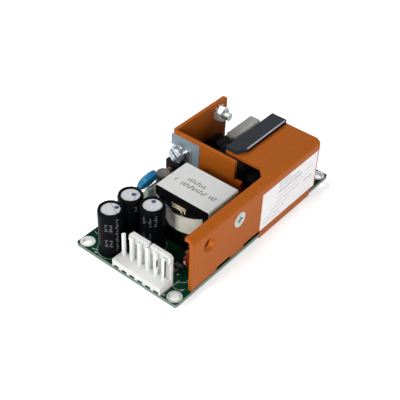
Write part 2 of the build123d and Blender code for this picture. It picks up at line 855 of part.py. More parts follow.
def output_capacitors():
    places = ((first_cap_x, first_cap_y), (first_cap_x, second_cap_y), (third_cap_x, third_cap_y))
    for number, (x, y) in enumerate(places, start=1):
        upright_capacitor(f"output_capacitor_{number}", x, y, output_cap_diameter, output_cap_height,
                          output_cap_lead_pitch, output_cap_lead_diameter, 0)


def auxiliary_capacitor():
    upright_capacitor("auxiliary_capacitor", auxiliary_cap_x, auxiliary_cap_y, auxiliary_cap_diameter,
                      auxiliary_cap_height, auxiliary_cap_lead_pitch, auxiliary_cap_lead_diameter, 90)


def bulk_capacitor():
    """The large can lies along X with its leads bent down at its right end."""
    z = board_top + seat_gap + bulk_cap_diameter / 2
    end_x = bulk_cap_right_x + bulk_cap_lead_reach
    place = Pos(bulk_cap_right_x, bulk_cap_y, z) * Rot(0, -90, 0)
    can = place * can_solid(bulk_cap_diameter, bulk_cap_length)
    for side in (-1, 1):
        lead_y = bulk_cap_y + side * bulk_cap_lead_pitch / 2
        drill(end_x, lead_y, bulk_cap_lead_diameter)
        can += bent_wire([(bulk_cap_right_x, lead_y, z), (end_x, lead_y, z), (end_x, lead_y, tip_z)],
                         bulk_cap_lead_bend, bulk_cap_lead_diameter)
    save("bulk_capacitor", can)
    save("bulk_capacitor_sleeve", place * can_sleeve(bulk_cap_diameter, bulk_cap_length))


def bent_wire(points, bend, diameter):
    """A round wire along straight runs joined by bends."""
    path = FilletPolyline(*points, radius=bend)
    start = Plane(origin=path @ 0, z_dir=path % 0)
    return sweep(start * Circle(diameter / 2), path=path)


# Transformer
def core_half(upper):
    """One ferrite half: a plate, two outer legs and a round centre leg, meeting at mid height."""
    x0 = transformer_x - core_width / 2
    x1 = transformer_x + core_width / 2
    y0 = transformer_y - core_depth / 2
    y1 = transformer_y + core_depth / 2
    z0 = board_top + core_lift
    z1 = z0 + core_height
    middle = (z0 + z1) / 2
    if upper:
        plate = block(x0, x1, y0, y1, z1 - core_plate, z1)
        legs = (middle, z1 - core_plate)
        centre = (middle + core_air_gap / 2, z1 - core_plate)
        rim = plate.faces().sort_by(Axis.Z)[-1].edges()
    else:
        plate = block(x0, x1, y0, y1, z0, z0 + core_plate)
        legs = (z0 + core_plate, middle)
        centre = (z0 + core_plate, middle - core_air_gap / 2)
        rim = plate.faces().sort_by(Axis.Z)[0].edges()
    half = chamfer(rim.filter_by(Axis.Y), core_edge_chamfer)
    half += block(x0, x0 + core_leg, y0, y1, *legs)
    half += block(x1 - core_leg, x1, y0, y1, *legs)
    return half + post(transformer_x, transformer_y, *centre, core_centre_leg_diameter)


def transformer_levels():
    """Heights of the bobbin: under and over the lower flange, under and over the upper one."""
    low = board_top + core_lift + core_plate + bobbin_clearance
    high = board_top + core_lift + core_height - core_plate - bobbin_clearance
    return low, low + bobbin_flange, high - bobbin_flange, high


def window_half_width():
    return core_width / 2 - core_leg - bobbin_clearance


def bobbin_plan():
    """A round flange cut straight where the outer legs pass."""
    return Circle(bobbin_flange_radius) & Rectangle(2 * window_half_width(), 3 * bobbin_flange_radius)


def transformer_pin_places():
    rail_y = core_depth / 2 + bobbin_clearance + bobbin_rail_thickness / 2
    first = -(transformer_pins_per_side - 1) / 2
    return [
        (transformer_x + (first + k) * transformer_pin_pitch, transformer_y + side * rail_y)
        for side in (-1, 1)
        for k in range(transformer_pins_per_side)
    ]


def rail_slots(face_y):
    """Grooves for the wires in the outer face of a rail, one between each two pins."""
    first = -(transformer_pins_per_side - 2) / 2
    low_top = transformer_levels()[1]
    slots = []
    for k in range(transformer_pins_per_side - 1):
        x = transformer_x + (first + k) * transformer_pin_pitch
        slots.append(block(x - bobbin_slot_width / 2, x + bobbin_slot_width / 2, face_y - bobbin_slot_depth,
                           face_y + bobbin_slot_depth, board_top, low_top + overcut))
    return slots


def transformer():
    save("transformer_core_upper", core_half(True))
    save("transformer_core_lower", core_half(False))
    low, low_top, high_bottom, high = transformer_levels()
    centre = Pos(transformer_x, transformer_y, 0)
    bore = core_centre_leg_diameter / 2 + bobbin_clearance
    bobbin = centre * Pos(0, 0, low) * extrude(bobbin_plan(), bobbin_flange)
    bobbin += centre * Pos(0, 0, high_bottom) * extrude(bobbin_plan(), bobbin_flange)
    bobbin += post(transformer_x, transformer_y, low, high, 2 * (bore + bobbin_wall))
    rail_in = core_depth / 2 + bobbin_clearance
    rail_out = rail_in + bobbin_rail_thickness
    half = window_half_width()
    for side in (-1, 1):
        y0, y1 = sorted((transformer_y + side * rail_in, transformer_y + side * rail_out))
        bobbin += block(transformer_x - half, transformer_x + half, y0, y1, board_top + seat_gap, low_top)
        bobbin -= rail_slots(transformer_y + side * rail_out)
    bobbin -= post(transformer_x, transformer_y, low - overcut, high + overcut, 2 * bore)
    pin_top = board_top + seat_gap + transformer_pin_depth
    pins = [square_pin(x, y, pin_top, transformer_pin_width) for x, y in transformer_pin_places()]
    save("transformer_bobbin", bobbin - pins)
    save_group("transformer_pins", pins)
    plan = Circle(winding_radius) & Rectangle(2 * (half - winding_side_gap), 3 * winding_radius)
    plan = fillet(plan.vertices(), winding_edge_radius) - Circle(bore + bobbin_wall)
    save("transformer_winding", centre * Pos(0, 0, low_top) * extrude(plan, high_bottom - low_top))
    save("transformer_tape", transformer_tape())


def transformer_tape():
    """A closed band round the ends, top and bottom of the core."""
    bottom = board_top + core_lift
    middle_z = bottom + core_height / 2
    inside = Box(core_width, 2 * tape_width, core_height)
    inside = chamfer(inside.edges().filter_by(Axis.Y), core_edge_chamfer)
    outside = Box(core_width + 2 * tape_thickness, tape_width, core_height + 2 * tape_thickness)
    outside = chamfer(outside.edges().filter_by(Axis.Y), core_edge_chamfer)
    return Pos(transformer_x, transformer_y, middle_z) * (outside - inside)


# Chokes: rings drawn about Z, then stood on edge
def ring(outer, hole, thickness, edge):
    """A ring with chamfered rims."""
    r1 = outer / 2
    r0 = hole / 2
    h = thickness / 2
    return turned([
        (r0, -h + edge), (r0 + edge, -h), (r1 - edge, -h), (r1, -h + edge),
        (r1, h - edge), (r1 - edge, h), (r0 + edge, h), (r0, h - edge),
    ])


def wound(outer, hole, thickness, edge, core, turns, wire):
    """A winding on a ring: a thin bed all round, with a raised rib for each turn of wire."""
    winding = ring(outer - wire, hole + wire, thickness - wire, edge)
    reach = (outer - hole) / 2
    middle = (outer + hole) / 4
    rib = Box(reach, wire, thickness)
    rib = Pos(middle, 0, 0) * fillet(rib.edges().filter_by(Axis.Y), edge)
    winding += [Rot(0, 0, 360 * k / turns) * rib for k in range(turns)]
    return winding - core


def output_choke():
    x = wall_inner_x - output_choke_wall_gap - output_choke_thickness / 2
    core_front_y = transformer_y - core_depth / 2
    y = core_front_y - output_choke_core_gap - output_choke_diameter / 2
    z = board_top + seat_gap + output_choke_diameter / 2
    place = Pos(x, y, z) * Rot(0, 90, 0)
    core = ring(output_choke_core_diameter, output_choke_core_hole, output_choke_core_thickness, seat_gap)
    save("output_choke_core", place * core)
    winding = place * wound(output_choke_diameter, output_choke_hole, output_choke_thickness,
                            output_choke_turn_edge, core, output_choke_turns, output_choke_wire)
    for side in (-1, 1):
        lead_y = y + side * output_choke_lead_pitch / 2
        level = z - math.sqrt((output_choke_diameter / 2) ** 2 - (output_choke_lead_pitch / 2) ** 2)
        winding += round_lead(x, lead_y, level + output_choke_wire, output_choke_lead_diameter)
    save("output_choke_winding", winding)


def line_choke():
    """A ring on edge across the board, with a winding on each side of it."""
    radius = line_choke_diameter / 2
    x = line_choke_x
    z = board_top + seat_gap + radius
    place = Pos(x, line_choke_y, z) * Rot(90, 0, 0)
    core = ring(line_choke_core_diameter, line_choke_core_hole, line_choke_core_thickness, seat_gap)
    save("line_choke_core", place * core)
    whole = wound(line_choke_diameter, line_choke_hole, line_choke_thickness, line_choke_turn_edge, core,
                  line_choke_turns, line_choke_wire)
    halves = []
    for side in (-1, 1):
        near = line_choke_winding_gap / 2
        x0, x1 = sorted((side * near, side * line_choke_diameter))
        winding = place * (whole & block(x0, x1, -radius - overcut, radius + overcut, -radius, radius))
        lead_x = x + side * line_choke_lead_pitch / 2
        for end in (-1, 1):
            lead_y = line_choke_y + end * line_choke_core_thickness / 2
            level = z - math.sqrt(radius ** 2 - (line_choke_lead_pitch / 2) ** 2)
            winding += round_lead(lead_x, lead_y, level + line_choke_wire, line_choke_lead_diameter)
        halves.append(winding)
    save_group("line_choke_windings", halves)


# Dipped and moulded parts
def dipped_disc(diameter, thickness, rim):
    """A coated disc drawn about Z, thick in the middle and rounding off to its rim."""
    radius = diameter / 2
    steps = 5
    side = []
    for k in range(steps + 1):
        r = radius * math.sin(math.pi / 2 * k / steps)
        side.append((r, rim / 2 + (thickness - rim) / 2 * math.sqrt(1 - (r / radius) ** 2)))
    return turned(side + [(r, -z) for r, z in side[::-1]])


def disc_capacitor():
    """The disc leans to the right; its leads leave along the lean and bend straight down."""
    z = board_top + disc_cap_height
    body = Rot(0, 90, 0) * dipped_disc(disc_cap_diameter, disc_cap_thickness, disc_cap_rim)
    neck_middle = (disc_cap_neck_start + disc_cap_neck_end) / 2
    neck_length = disc_cap_neck_end - disc_cap_neck_start
    neck = Cone(disc_cap_neck_tip_diameter / 2, disc_cap_neck_diameter / 2, neck_length)
    for side in (-1, 1):
        body += Pos(0, side * disc_cap_lead_pitch / 2, -neck_middle) * neck
    disc = Pos(disc_cap_x, disc_cap_y, z) * Rot(0, disc_cap_lean, 0) * body
    down_x = -math.sin(math.radians(disc_cap_lean))
    down_z = -math.cos(math.radians(disc_cap_lean))
    knee_x = disc_cap_x + disc_cap_lead_knee * down_x
    for side in (-1, 1):
        y = disc_cap_y + side * disc_cap_lead_pitch / 2
        root = (disc_cap_x + disc_cap_lead_root * down_x, y, z + disc_cap_lead_root * down_z)
        drill(knee_x, y, disc_cap_lead_diameter)
        disc += bent_wire([root, (knee_x, y, z + disc_cap_lead_knee * down_z), (knee_x, y, tip_z)],
                          disc_cap_lead_bend, disc_cap_lead_diameter)
    save("disc_capacitor", disc)


def inrush_thermistor():
    z = board_top + thermistor_lift + thermistor_diameter / 2
    turn = Rot(90, 0, 0)
    disc = turn * dipped_disc(thermistor_diameter, thermistor_thickness, thermistor_rim)
    disc = Pos(thermistor_x, thermistor_y, z) * disc
    for side in (-1, 1):
        lead_x = thermistor_x + side * thermistor_lead_pitch / 2
        disc += round_lead(lead_x, thermistor_y, z, thermistor_lead_diameter)
    save("inrush_thermistor", disc)


def optocoupler():
    """A low surface mounted case between the leads of the disc capacitor."""
    x = left_edge_x + optocoupler_edge_inset
    y = disc_cap_y
    half_width = optocoupler_width / 2
    half_length = optocoupler_length / 2
    body = block(x - half_width, x + half_width, y - half_length, y + half_length,
                 board_top, board_top + optocoupler_height)
    foot = optocoupler_lead_width / 2
    for side in (-1, 1):
        for row in (-1, 1):
            lead_x = x + side * optocoupler_lead_pitch / 2
            y0, y1 = sorted((y + row * half_length, y + row * (half_length + optocoupler_lead_reach)))
            body += block(lead_x - foot, lead_x + foot, y0, y1, board_top, board_top + optocoupler_height / 2)
    save("optocoupler", body)


def filter_capacitor():
    """A moulded box whose rear end stands by the rear edge of the board."""
    half = filter_cap_width / 2
    top = board_top + filter_cap_height
    body = block(filter_cap_x - half, filter_cap_x + half, filter_cap_front_y, filter_cap_rear_y,
                 board_top, top)
    groove_y = filter_cap_front_y + filter_cap_groove_setback
    body -= block(filter_cap_x - half, filter_cap_x + half, groove_y, groove_y + filter_cap_groove_width,
                  top - filter_cap_groove_depth, top)
    for side in (-1, 1):
        lead_y = (filter_cap_front_y + filter_cap_rear_y) / 2 + side * filter_cap_lead_pitch / 2
        body += round_lead(filter_cap_x, lead_y, board_top, filter_cap_lead_diameter)
    save("filter_capacitor", body)


def bridge_rectifier():
    z0 = board_top + bridge_lift
    half_x = bridge_width / 2
    half_y = bridge_thickness / 2
    body = block(bridge_x - half_x, bridge_x + half_x, bridge_y - half_y, bridge_y + half_y,
                 z0, z0 + bridge_height)
    corner = body.edges().filter_by(Axis.Y).sort_by(lambda e: e.center().Z - e.center().X)[-1]
    body = chamfer(corner, bridge_corner)
    for k in range(bridge_leads):
        lead_x = bridge_x + (k - (bridge_leads - 1) / 2) * bridge_lead_pitch
        body += round_lead(lead_x, bridge_y, z0, bridge_lead_diameter)
    save("bridge_rectifier", body)


def fuse():
    body = post(fuse_x, fuse_y, board_top + seat_gap, board_top + seat_gap + fuse_height, fuse_diameter)
    for side in (-1, 1):
        lead_x = fuse_x + side * fuse_lead_pitch / 2
        body += round_lead(lead_x, fuse_y, board_top + seat_gap, fuse_lead_diameter)
    save("fuse", body)


def control_ic():
    """A small outline case with stepped leads along both long sides."""
    half_x = control_length / 2
    half_y = control_width / 2
    body = block(control_x - half_x, control_x + half_x, control_y - half_y, control_y + half_y,
                 board_top + control_lead_thickness / 2, board_top + control_height)
    for k in range(control_leads_per_side):
        x = control_x + (k - (control_leads_per_side - 1) / 2) * control_lead_pitch
        body += [stepped_lead(x, side) for side in (-1, 1)]
    save("control_ic", body)


def stepped_lead(x, side):
    """One lead of the control circuit: out of the case, down, and flat on the board."""
    middle = board_top + control_height / 2
    thick = control_lead_thickness
    case = control_width / 2
    knee = case + control_lead_reach - control_foot_length
    toe = case + control_lead_reach
    outline = Polyline(
        (case - thick, middle),
        (knee, middle),
        (knee, board_top),
        (toe, board_top),
        (toe, board_top + thick),
        (knee + thick, board_top + thick),
        (knee + thick, middle + thick),
        (case - thick, middle + thick),
        close=True,
    )
    lead = extrude(Plane.YZ * make_face(outline), control_lead_width / 2, both=True)
    turn = 0 if side > 0 else 180
    return Pos(x, control_y, 0) * Rot(0, 0, turn) * lead


def chip_components():
    """Flat chip parts on both faces of the board."""
    chip = Box(chip_length, chip_width, chip_height)
    above = board_top + chip_height / 2
    chips = [Pos(x, front_edge_y + setback, above) * chip for x, setback in front_chip_places]
    below = -chip_height / 2
    chips += [Pos(x, front_edge_y + setback, below) * chip for x, setback in front_chip_under_places]
    rear_y = bridge_y + bridge_thickness / 2 + rear_chip_gap
    chips += [Pos(bridge_x + offset, rear_y, below) * chip for offset in rear_chip_offsets]
    save_group("chip_components", chips)


def axial_part(name, x, y, length, diameter, pitch):
    """A body lying on the board along X, with its wires bent down through it."""
    z = board_top + diameter / 2
    body = bar_x(y, z, x - length / 2, x + length / 2, diameter)
    for side in (-1, 1):
        end_x = x + side * pitch / 2
        drill(end_x, y, axial_lead_diameter)
        body += bent_wire([(x + side * length / 2, y, z), (end_x, y, z), (end_x, y, tip_z)],
                          axial_lead_bend, axial_lead_diameter)
    save(name, body)


# Board, drilled for everything above
def circuit_board():
    plan = RectangleRounded(board_width, board_length, board_corner_radius)
    hole_x = board_width / 2 - mounting_hole_inset
    hole_y = board_length / 2 - mounting_hole_inset
    for side_x in (-1, 1):
        for side_y in (-1, 1):
            plan -= Pos(side_x * hole_x, side_y * hole_y) * Circle(mounting_hole_diameter / 2)
    plan -= [Pos(x, y) * Circle(size / 2) for x, y, size in lead_holes]
    board = extrude(plan, board_thickness)
    notch_x = wall_inner_x - slot_clearance
    board -= block(notch_x, board_width, skirt_front_y - slot_clearance, skirt_rear_y + slot_clearance,
                   -overcut, board_top + overcut)
    return board - side_tabs(slot_clearance)


os.makedirs("parts", exist_ok=True)
save("main_heatsink", main_heatsink())
save("side_heatsink", side_heatsink())
save("heatsink_edge_strip", edge_strip())
save("blank_label", blank_label())
front_transistor()
wall_rectifier()
wall_fasteners()
headers()
output_capacitors()
auxiliary_capacitor()
bulk_capacitor()
transformer()
output_choke()
line_choke()
disc_capacitor()
inrush_thermistor()
optocoupler()
filter_capacitor()
bridge_rectifier()
fuse()
control_ic()
chip_components()
axial_part("snubber_diode", diode_x, diode_y, diode_length, diode_diameter, diode_pitch)
axial_part("snubber_resistor", resistor_x, resistor_y, resistor_length, resistor_diameter, resistor_pitch)
save("circuit_board", circuit_board())
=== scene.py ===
"""The looks of the open-frame power supply: finishes, print, wires, solder and small detail, in metres."""

import json
import math

import bmesh
import bpy
from mathutils import Matrix, Vector


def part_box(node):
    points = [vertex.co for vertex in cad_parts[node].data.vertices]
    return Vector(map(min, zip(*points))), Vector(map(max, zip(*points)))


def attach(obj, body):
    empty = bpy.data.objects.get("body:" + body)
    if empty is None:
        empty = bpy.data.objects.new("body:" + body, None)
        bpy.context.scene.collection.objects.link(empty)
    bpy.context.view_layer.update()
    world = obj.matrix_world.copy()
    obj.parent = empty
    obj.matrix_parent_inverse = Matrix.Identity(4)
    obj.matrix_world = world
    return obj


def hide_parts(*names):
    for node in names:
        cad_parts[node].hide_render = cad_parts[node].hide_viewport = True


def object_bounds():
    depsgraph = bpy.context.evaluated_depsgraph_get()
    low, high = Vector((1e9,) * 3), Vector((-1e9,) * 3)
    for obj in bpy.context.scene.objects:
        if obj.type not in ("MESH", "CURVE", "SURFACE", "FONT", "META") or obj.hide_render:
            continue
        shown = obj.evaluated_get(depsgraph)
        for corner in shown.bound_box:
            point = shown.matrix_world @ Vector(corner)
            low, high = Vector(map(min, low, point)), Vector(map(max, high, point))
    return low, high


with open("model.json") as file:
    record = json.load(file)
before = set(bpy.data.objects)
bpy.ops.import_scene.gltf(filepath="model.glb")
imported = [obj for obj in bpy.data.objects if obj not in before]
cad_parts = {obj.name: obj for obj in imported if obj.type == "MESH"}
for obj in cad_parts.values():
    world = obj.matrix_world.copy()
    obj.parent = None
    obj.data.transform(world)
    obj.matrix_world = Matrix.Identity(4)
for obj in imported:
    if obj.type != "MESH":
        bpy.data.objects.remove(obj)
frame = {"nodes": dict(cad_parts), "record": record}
cad_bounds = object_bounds()

MM = 0.001


# Camera at the photograph's view
CAMERA_AZIMUTH = 37.344
CAMERA_ELEVATION = 40.410
CAMERA_ROLL = 2.911
CAMERA_DISTANCE = 348.124 * MM
CAMERA_SHIFT_X = 3.5373 * MM
CAMERA_SHIFT_Y = -3.8705 * MM
FOCAL_PIXELS = 843.595
PHOTO_WIDTH = 400
SENSOR = 36.0
CLIP_NEAR = 0.01
CLIP_FAR = 50


def make_camera():
    azimuth = math.radians(CAMERA_AZIMUTH)
    elevation = math.radians(CAMERA_ELEVATION)
    roll = math.radians(CAMERA_ROLL)
    back = Vector((
        math.sin(azimuth) * math.cos(elevation),
        -math.cos(azimuth) * math.cos(elevation),
        math.sin(elevation),
    ))
    flat_right = Vector((math.cos(azimuth), math.sin(azimuth), 0))
    flat_up = back.cross(flat_right)
    right = math.cos(roll) * flat_right + math.sin(roll) * flat_up
    up = -math.sin(roll) * flat_right + math.cos(roll) * flat_up
    centre = back * CAMERA_DISTANCE - right * CAMERA_SHIFT_X - up * CAMERA_SHIFT_Y
    data = bpy.data.cameras.new("camera")
    data.sensor_width = SENSOR
    data.lens = FOCAL_PIXELS / PHOTO_WIDTH * SENSOR
    data.clip_start = CLIP_NEAR
    data.clip_end = CLIP_FAR
    camera = bpy.data.objects.new("camera", data)
    camera.matrix_world = Matrix((
        (right.x, up.x, back.x, centre.x),
        (right.y, up.y, back.y, centre.y),
        (right.z, up.z, back.z, centre.z),
        (0, 0, 0, 1),
    ))
    bpy.context.scene.collection.objects.link(camera)
    bpy.context.scene.camera = camera


# Lamps: place in metres, size, watts, and colour where it isn't white
LAMPS = (
    ("key", (0.52, -0.29, 0.18), 0.26, 2.2, (1.0, 0.98, 0.95)),
    ("top", (-0.38, -0.02, 0.50), 0.26, 1.7),
    ("front", (-0.10, -0.58, 0.40), 0.22, 2.85),
    ("edge", (0.43, 0.40, 0.33), 0.20, 0.25),
)
LAMP_TARGET = Vector((0, 0, 0.012))


def area_lamp(name, place, size, watts, colour=(1, 1, 1)):
    """A square lamp that points at the middle of the object."""
    data = bpy.data.lights.new(name, "AREA")
    data.size = size
    data.energy = watts
    data.color = colour
    lamp = bpy.data.objects.new(name, data)
    lamp.location = place
    lamp.rotation_mode = "QUATERNION"
    lamp.rotation_quaternion = (Vector(place) - LAMP_TARGET).to_track_quat("Z", "Y")
    bpy.context.scene.collection.objects.link(lamp)


# World and floor
def camera_ray_mix(nodes, links, plain, seen):
    """Shows the second shader to the camera, mirrors and glass, and the first to everything else."""
    path = nodes.new("ShaderNodeLightPath")
    factor = path.outputs["Is Camera Ray"]
    for ray in ("Is Glossy Ray", "Is Transmission Ray"):
        either = nodes.new("ShaderNodeMath")
        either.operation = "MAXIMUM"
        links.new(factor, either.inputs[0])
        links.new(path.outputs[ray], either.inputs[1])
        factor = either.outputs[0]
    mix = nodes.new("ShaderNodeMixShader")
    links.new(factor, mix.inputs[0])
    links.new(plain, mix.inputs[1])
    links.new(seen, mix.inputs[2])
    return mix.outputs[0]


# Light from the sky: its strength, and its colour from the horizon to straight above
WORLD_STRENGTH = 0.13
WORLD_LEVELS = (
    (0.0, (0.25, 0.25, 0.26)),
    (0.25, (0.45, 0.45, 0.48)),
    (0.5, (0.60, 0.61, 0.63)),
    (0.8, (0.50, 0.50, 0.52)),
    (1.0, (0.80, 0.80, 0.82)),
)
# The floor, and the light added to it: at the object, growing to one between two distances from it
FLOOR_GAP = 0.02 * MM
FLOOR_HALF = 3.0
FLOOR_COLOUR = (0.93, 0.93, 0.93, 1)
FLOOR_ROUGHNESS = 0.9
FLOOR_LIFT = 0.56
LIFT_NEAR = 0.14
LIFT_FAR = 0.55


def make_world():
    world = bpy.data.worlds.new("studio")
    bpy.context.scene.world = world
    world.use_nodes = True
    nodes, links = world.node_tree.nodes, world.node_tree.links
    nodes.clear()
    place = nodes.new("ShaderNodeTexCoord")
    height = nodes.new("ShaderNodeSeparateXYZ")
    links.new(place.outputs["Generated"], height.inputs[0])
    sky = nodes.new("ShaderNodeValToRGB")
    for stop, (position, colour) in zip(sky.color_ramp.elements, (WORLD_LEVELS[0], WORLD_LEVELS[-1])):
        stop.position = position
        stop.color = (*colour, 1)
    for position, colour in WORLD_LEVELS[1:-1]:
        stop = sky.color_ramp.elements.new(position)
        stop.color = (*colour, 1)
    links.new(height.outputs["Z"], sky.inputs["Fac"])
    dim = nodes.new("ShaderNodeBackground")
    links.new(sky.outputs["Color"], dim.inputs["Color"])
    dim.inputs["Strength"].default_value = WORLD_STRENGTH
    white = nodes.new("ShaderNodeBackground")
    white.inputs["Color"].default_value = (1, 1, 1, 1)
    white.inputs["Strength"].default_value = 1.0
    mixed = camera_ray_mix(nodes, links, dim.outputs[0], white.outputs[0])
    out = nodes.new("ShaderNodeOutputWorld")
    links.new(mixed, out.inputs[0])


def make_floor():
    low = cad_bounds[0].z - FLOOR_GAP
    half = FLOOR_HALF
    corners = [(-half, -half, low), (half, -half, low), (half, half, low), (-half, half, low)]
    mesh = bpy.data.meshes.new("floor")
    mesh.from_pydata(corners, [], [(0, 1, 2, 3)])
    floor = bpy.data.objects.new("floor", mesh)
    bpy.context.scene.collection.objects.link(floor)
    paint = bpy.data.materials.new("floor_paint")
    paint.use_nodes = True
    nodes, links = paint.node_tree.nodes, paint.node_tree.links
    surface = nodes["Principled BSDF"]
    surface.inputs["Base Color"].default_value = FLOOR_COLOUR
    surface.inputs["Roughness"].default_value = FLOOR_ROUGHNESS
    place = nodes.new("ShaderNodeTexCoord")
    distance = nodes.new("ShaderNodeVectorMath")
    distance.operation = "LENGTH"
    links.new(place.outputs["Object"], distance.inputs[0])
    level = nodes.new("ShaderNodeMapRange")
    level.inputs["From Min"].default_value = LIFT_NEAR
    level.inputs["From Max"].default_value = LIFT_FAR
    level.inputs["To Min"].default_value = FLOOR_LIFT
    level.inputs["To Max"].default_value = 1.0
    links.new(distance.outputs["Value"], level.inputs["Value"])
    lift = nodes.new("ShaderNodeEmission")
    lift.inputs["Color"].default_value = (1, 1, 1, 1)
    links.new(level.outputs["Result"], lift.inputs["Strength"])
    both = nodes.new("ShaderNodeAddShader")
    links.new(surface.outputs[0], both.inputs[0])
    links.new(lift.outputs[0], both.inputs[1])
    mixed = camera_ray_mix(nodes, links, surface.outputs[0], both.outputs[0])
    links.new(mixed, nodes["Material Output"].inputs["Surface"])
    mesh.materials.append(paint)


# Materials
# Detail of the noise in colour, in roughness and in relief, and how much finer roughness is than colour
COLOUR_DETAIL = 4.0
ROUGH_DETAIL = 2.0
FINE_DETAIL = 3.0
ROUGH_SCALE = 1.7
# The part of the noise's range over which two colours, or two values of roughness, blend
COLOUR_BLEND = (0.35, 0.65)
ROUGH_BLEND = (0.3, 0.7)
COAT_ROUGHNESS = 0.12
SUBSURFACE_SCALE = 0.6 * MM


def noise(nodes, links, scale, detail, stretch=None):
    """Noise in the row frame; scale is in features for each metre."""
    place = nodes.new("ShaderNodeTexCoord")
    texture = nodes.new("ShaderNodeTexNoise")
    texture.inputs["Scale"].default_value = scale
    texture.inputs["Detail"].default_value = detail
    source = place.outputs["Object"]
    if stretch:
        mapping = nodes.new("ShaderNodeMapping")
        mapping.inputs["Scale"].default_value = stretch
        links.new(source, mapping.inputs["Vector"])
        source = mapping.outputs["Vector"]
    links.new(source, texture.inputs["Vector"])
    return texture.outputs["Fac"]


def ramp(nodes, links, factor, low, high):
    """Two colours mixed by a factor."""
    mix = nodes.new("ShaderNodeValToRGB")
    for stop, position, colour in zip(mix.color_ramp.elements, COLOUR_BLEND, (low, high)):
        stop.position = position
        stop.color = (*colour, 1)
    links.new(factor, mix.inputs["Fac"])
    return mix.outputs["Color"]


def finish_of(name, colour, other, rough, grain, metallic=0.0, bump=0.15, bump_scale=3000, bump_depth=0.02,
              coat=0.0, specular=0.5, subsurface=0.0, tint=(1, 1, 1)):
    """A surface with a slight change of colour and roughness, and a fine bump."""
    material = bpy.data.materials.new(name)
    material.use_nodes = True
    nodes, links = material.node_tree.nodes, material.node_tree.links
    surface = nodes["Principled BSDF"]
    surface.inputs["Metallic"].default_value = metallic
    surface.inputs["Coat Weight"].default_value = coat
    surface.inputs["Coat Roughness"].default_value = COAT_ROUGHNESS
    surface.inputs["Specular IOR Level"].default_value = specular
    surface.inputs["Specular Tint"].default_value = (*tint, 1)
    surface.inputs["Subsurface Weight"].default_value = subsurface
    surface.inputs["Subsurface Scale"].default_value = SUBSURFACE_SCALE
    mottle = noise(nodes, links, grain, COLOUR_DETAIL)
    links.new(ramp(nodes, links, mottle, other, colour), surface.inputs["Base Color"])
    spread = nodes.new("ShaderNodeMapRange")
    spread.inputs["From Min"].default_value = ROUGH_BLEND[0]
    spread.inputs["From Max"].default_value = ROUGH_BLEND[1]
    spread.inputs["To Min"].default_value = rough[0]
    spread.inputs["To Max"].default_value = rough[1]
    links.new(noise(nodes, links, grain * ROUGH_SCALE, ROUGH_DETAIL), spread.inputs["Value"])
    links.new(spread.outputs["Result"], surface.inputs["Roughness"])
    if bump:
        relief = nodes.new("ShaderNodeBump")
        relief.inputs["Strength"].default_value = bump
        relief.inputs["Distance"].default_value = bump_depth * MM
        links.new(noise(nodes, links, bump_scale, FINE_DETAIL), relief.inputs["Height"])
        links.new(relief.outputs["Normal"], surface.inputs["Normal"])
    return material


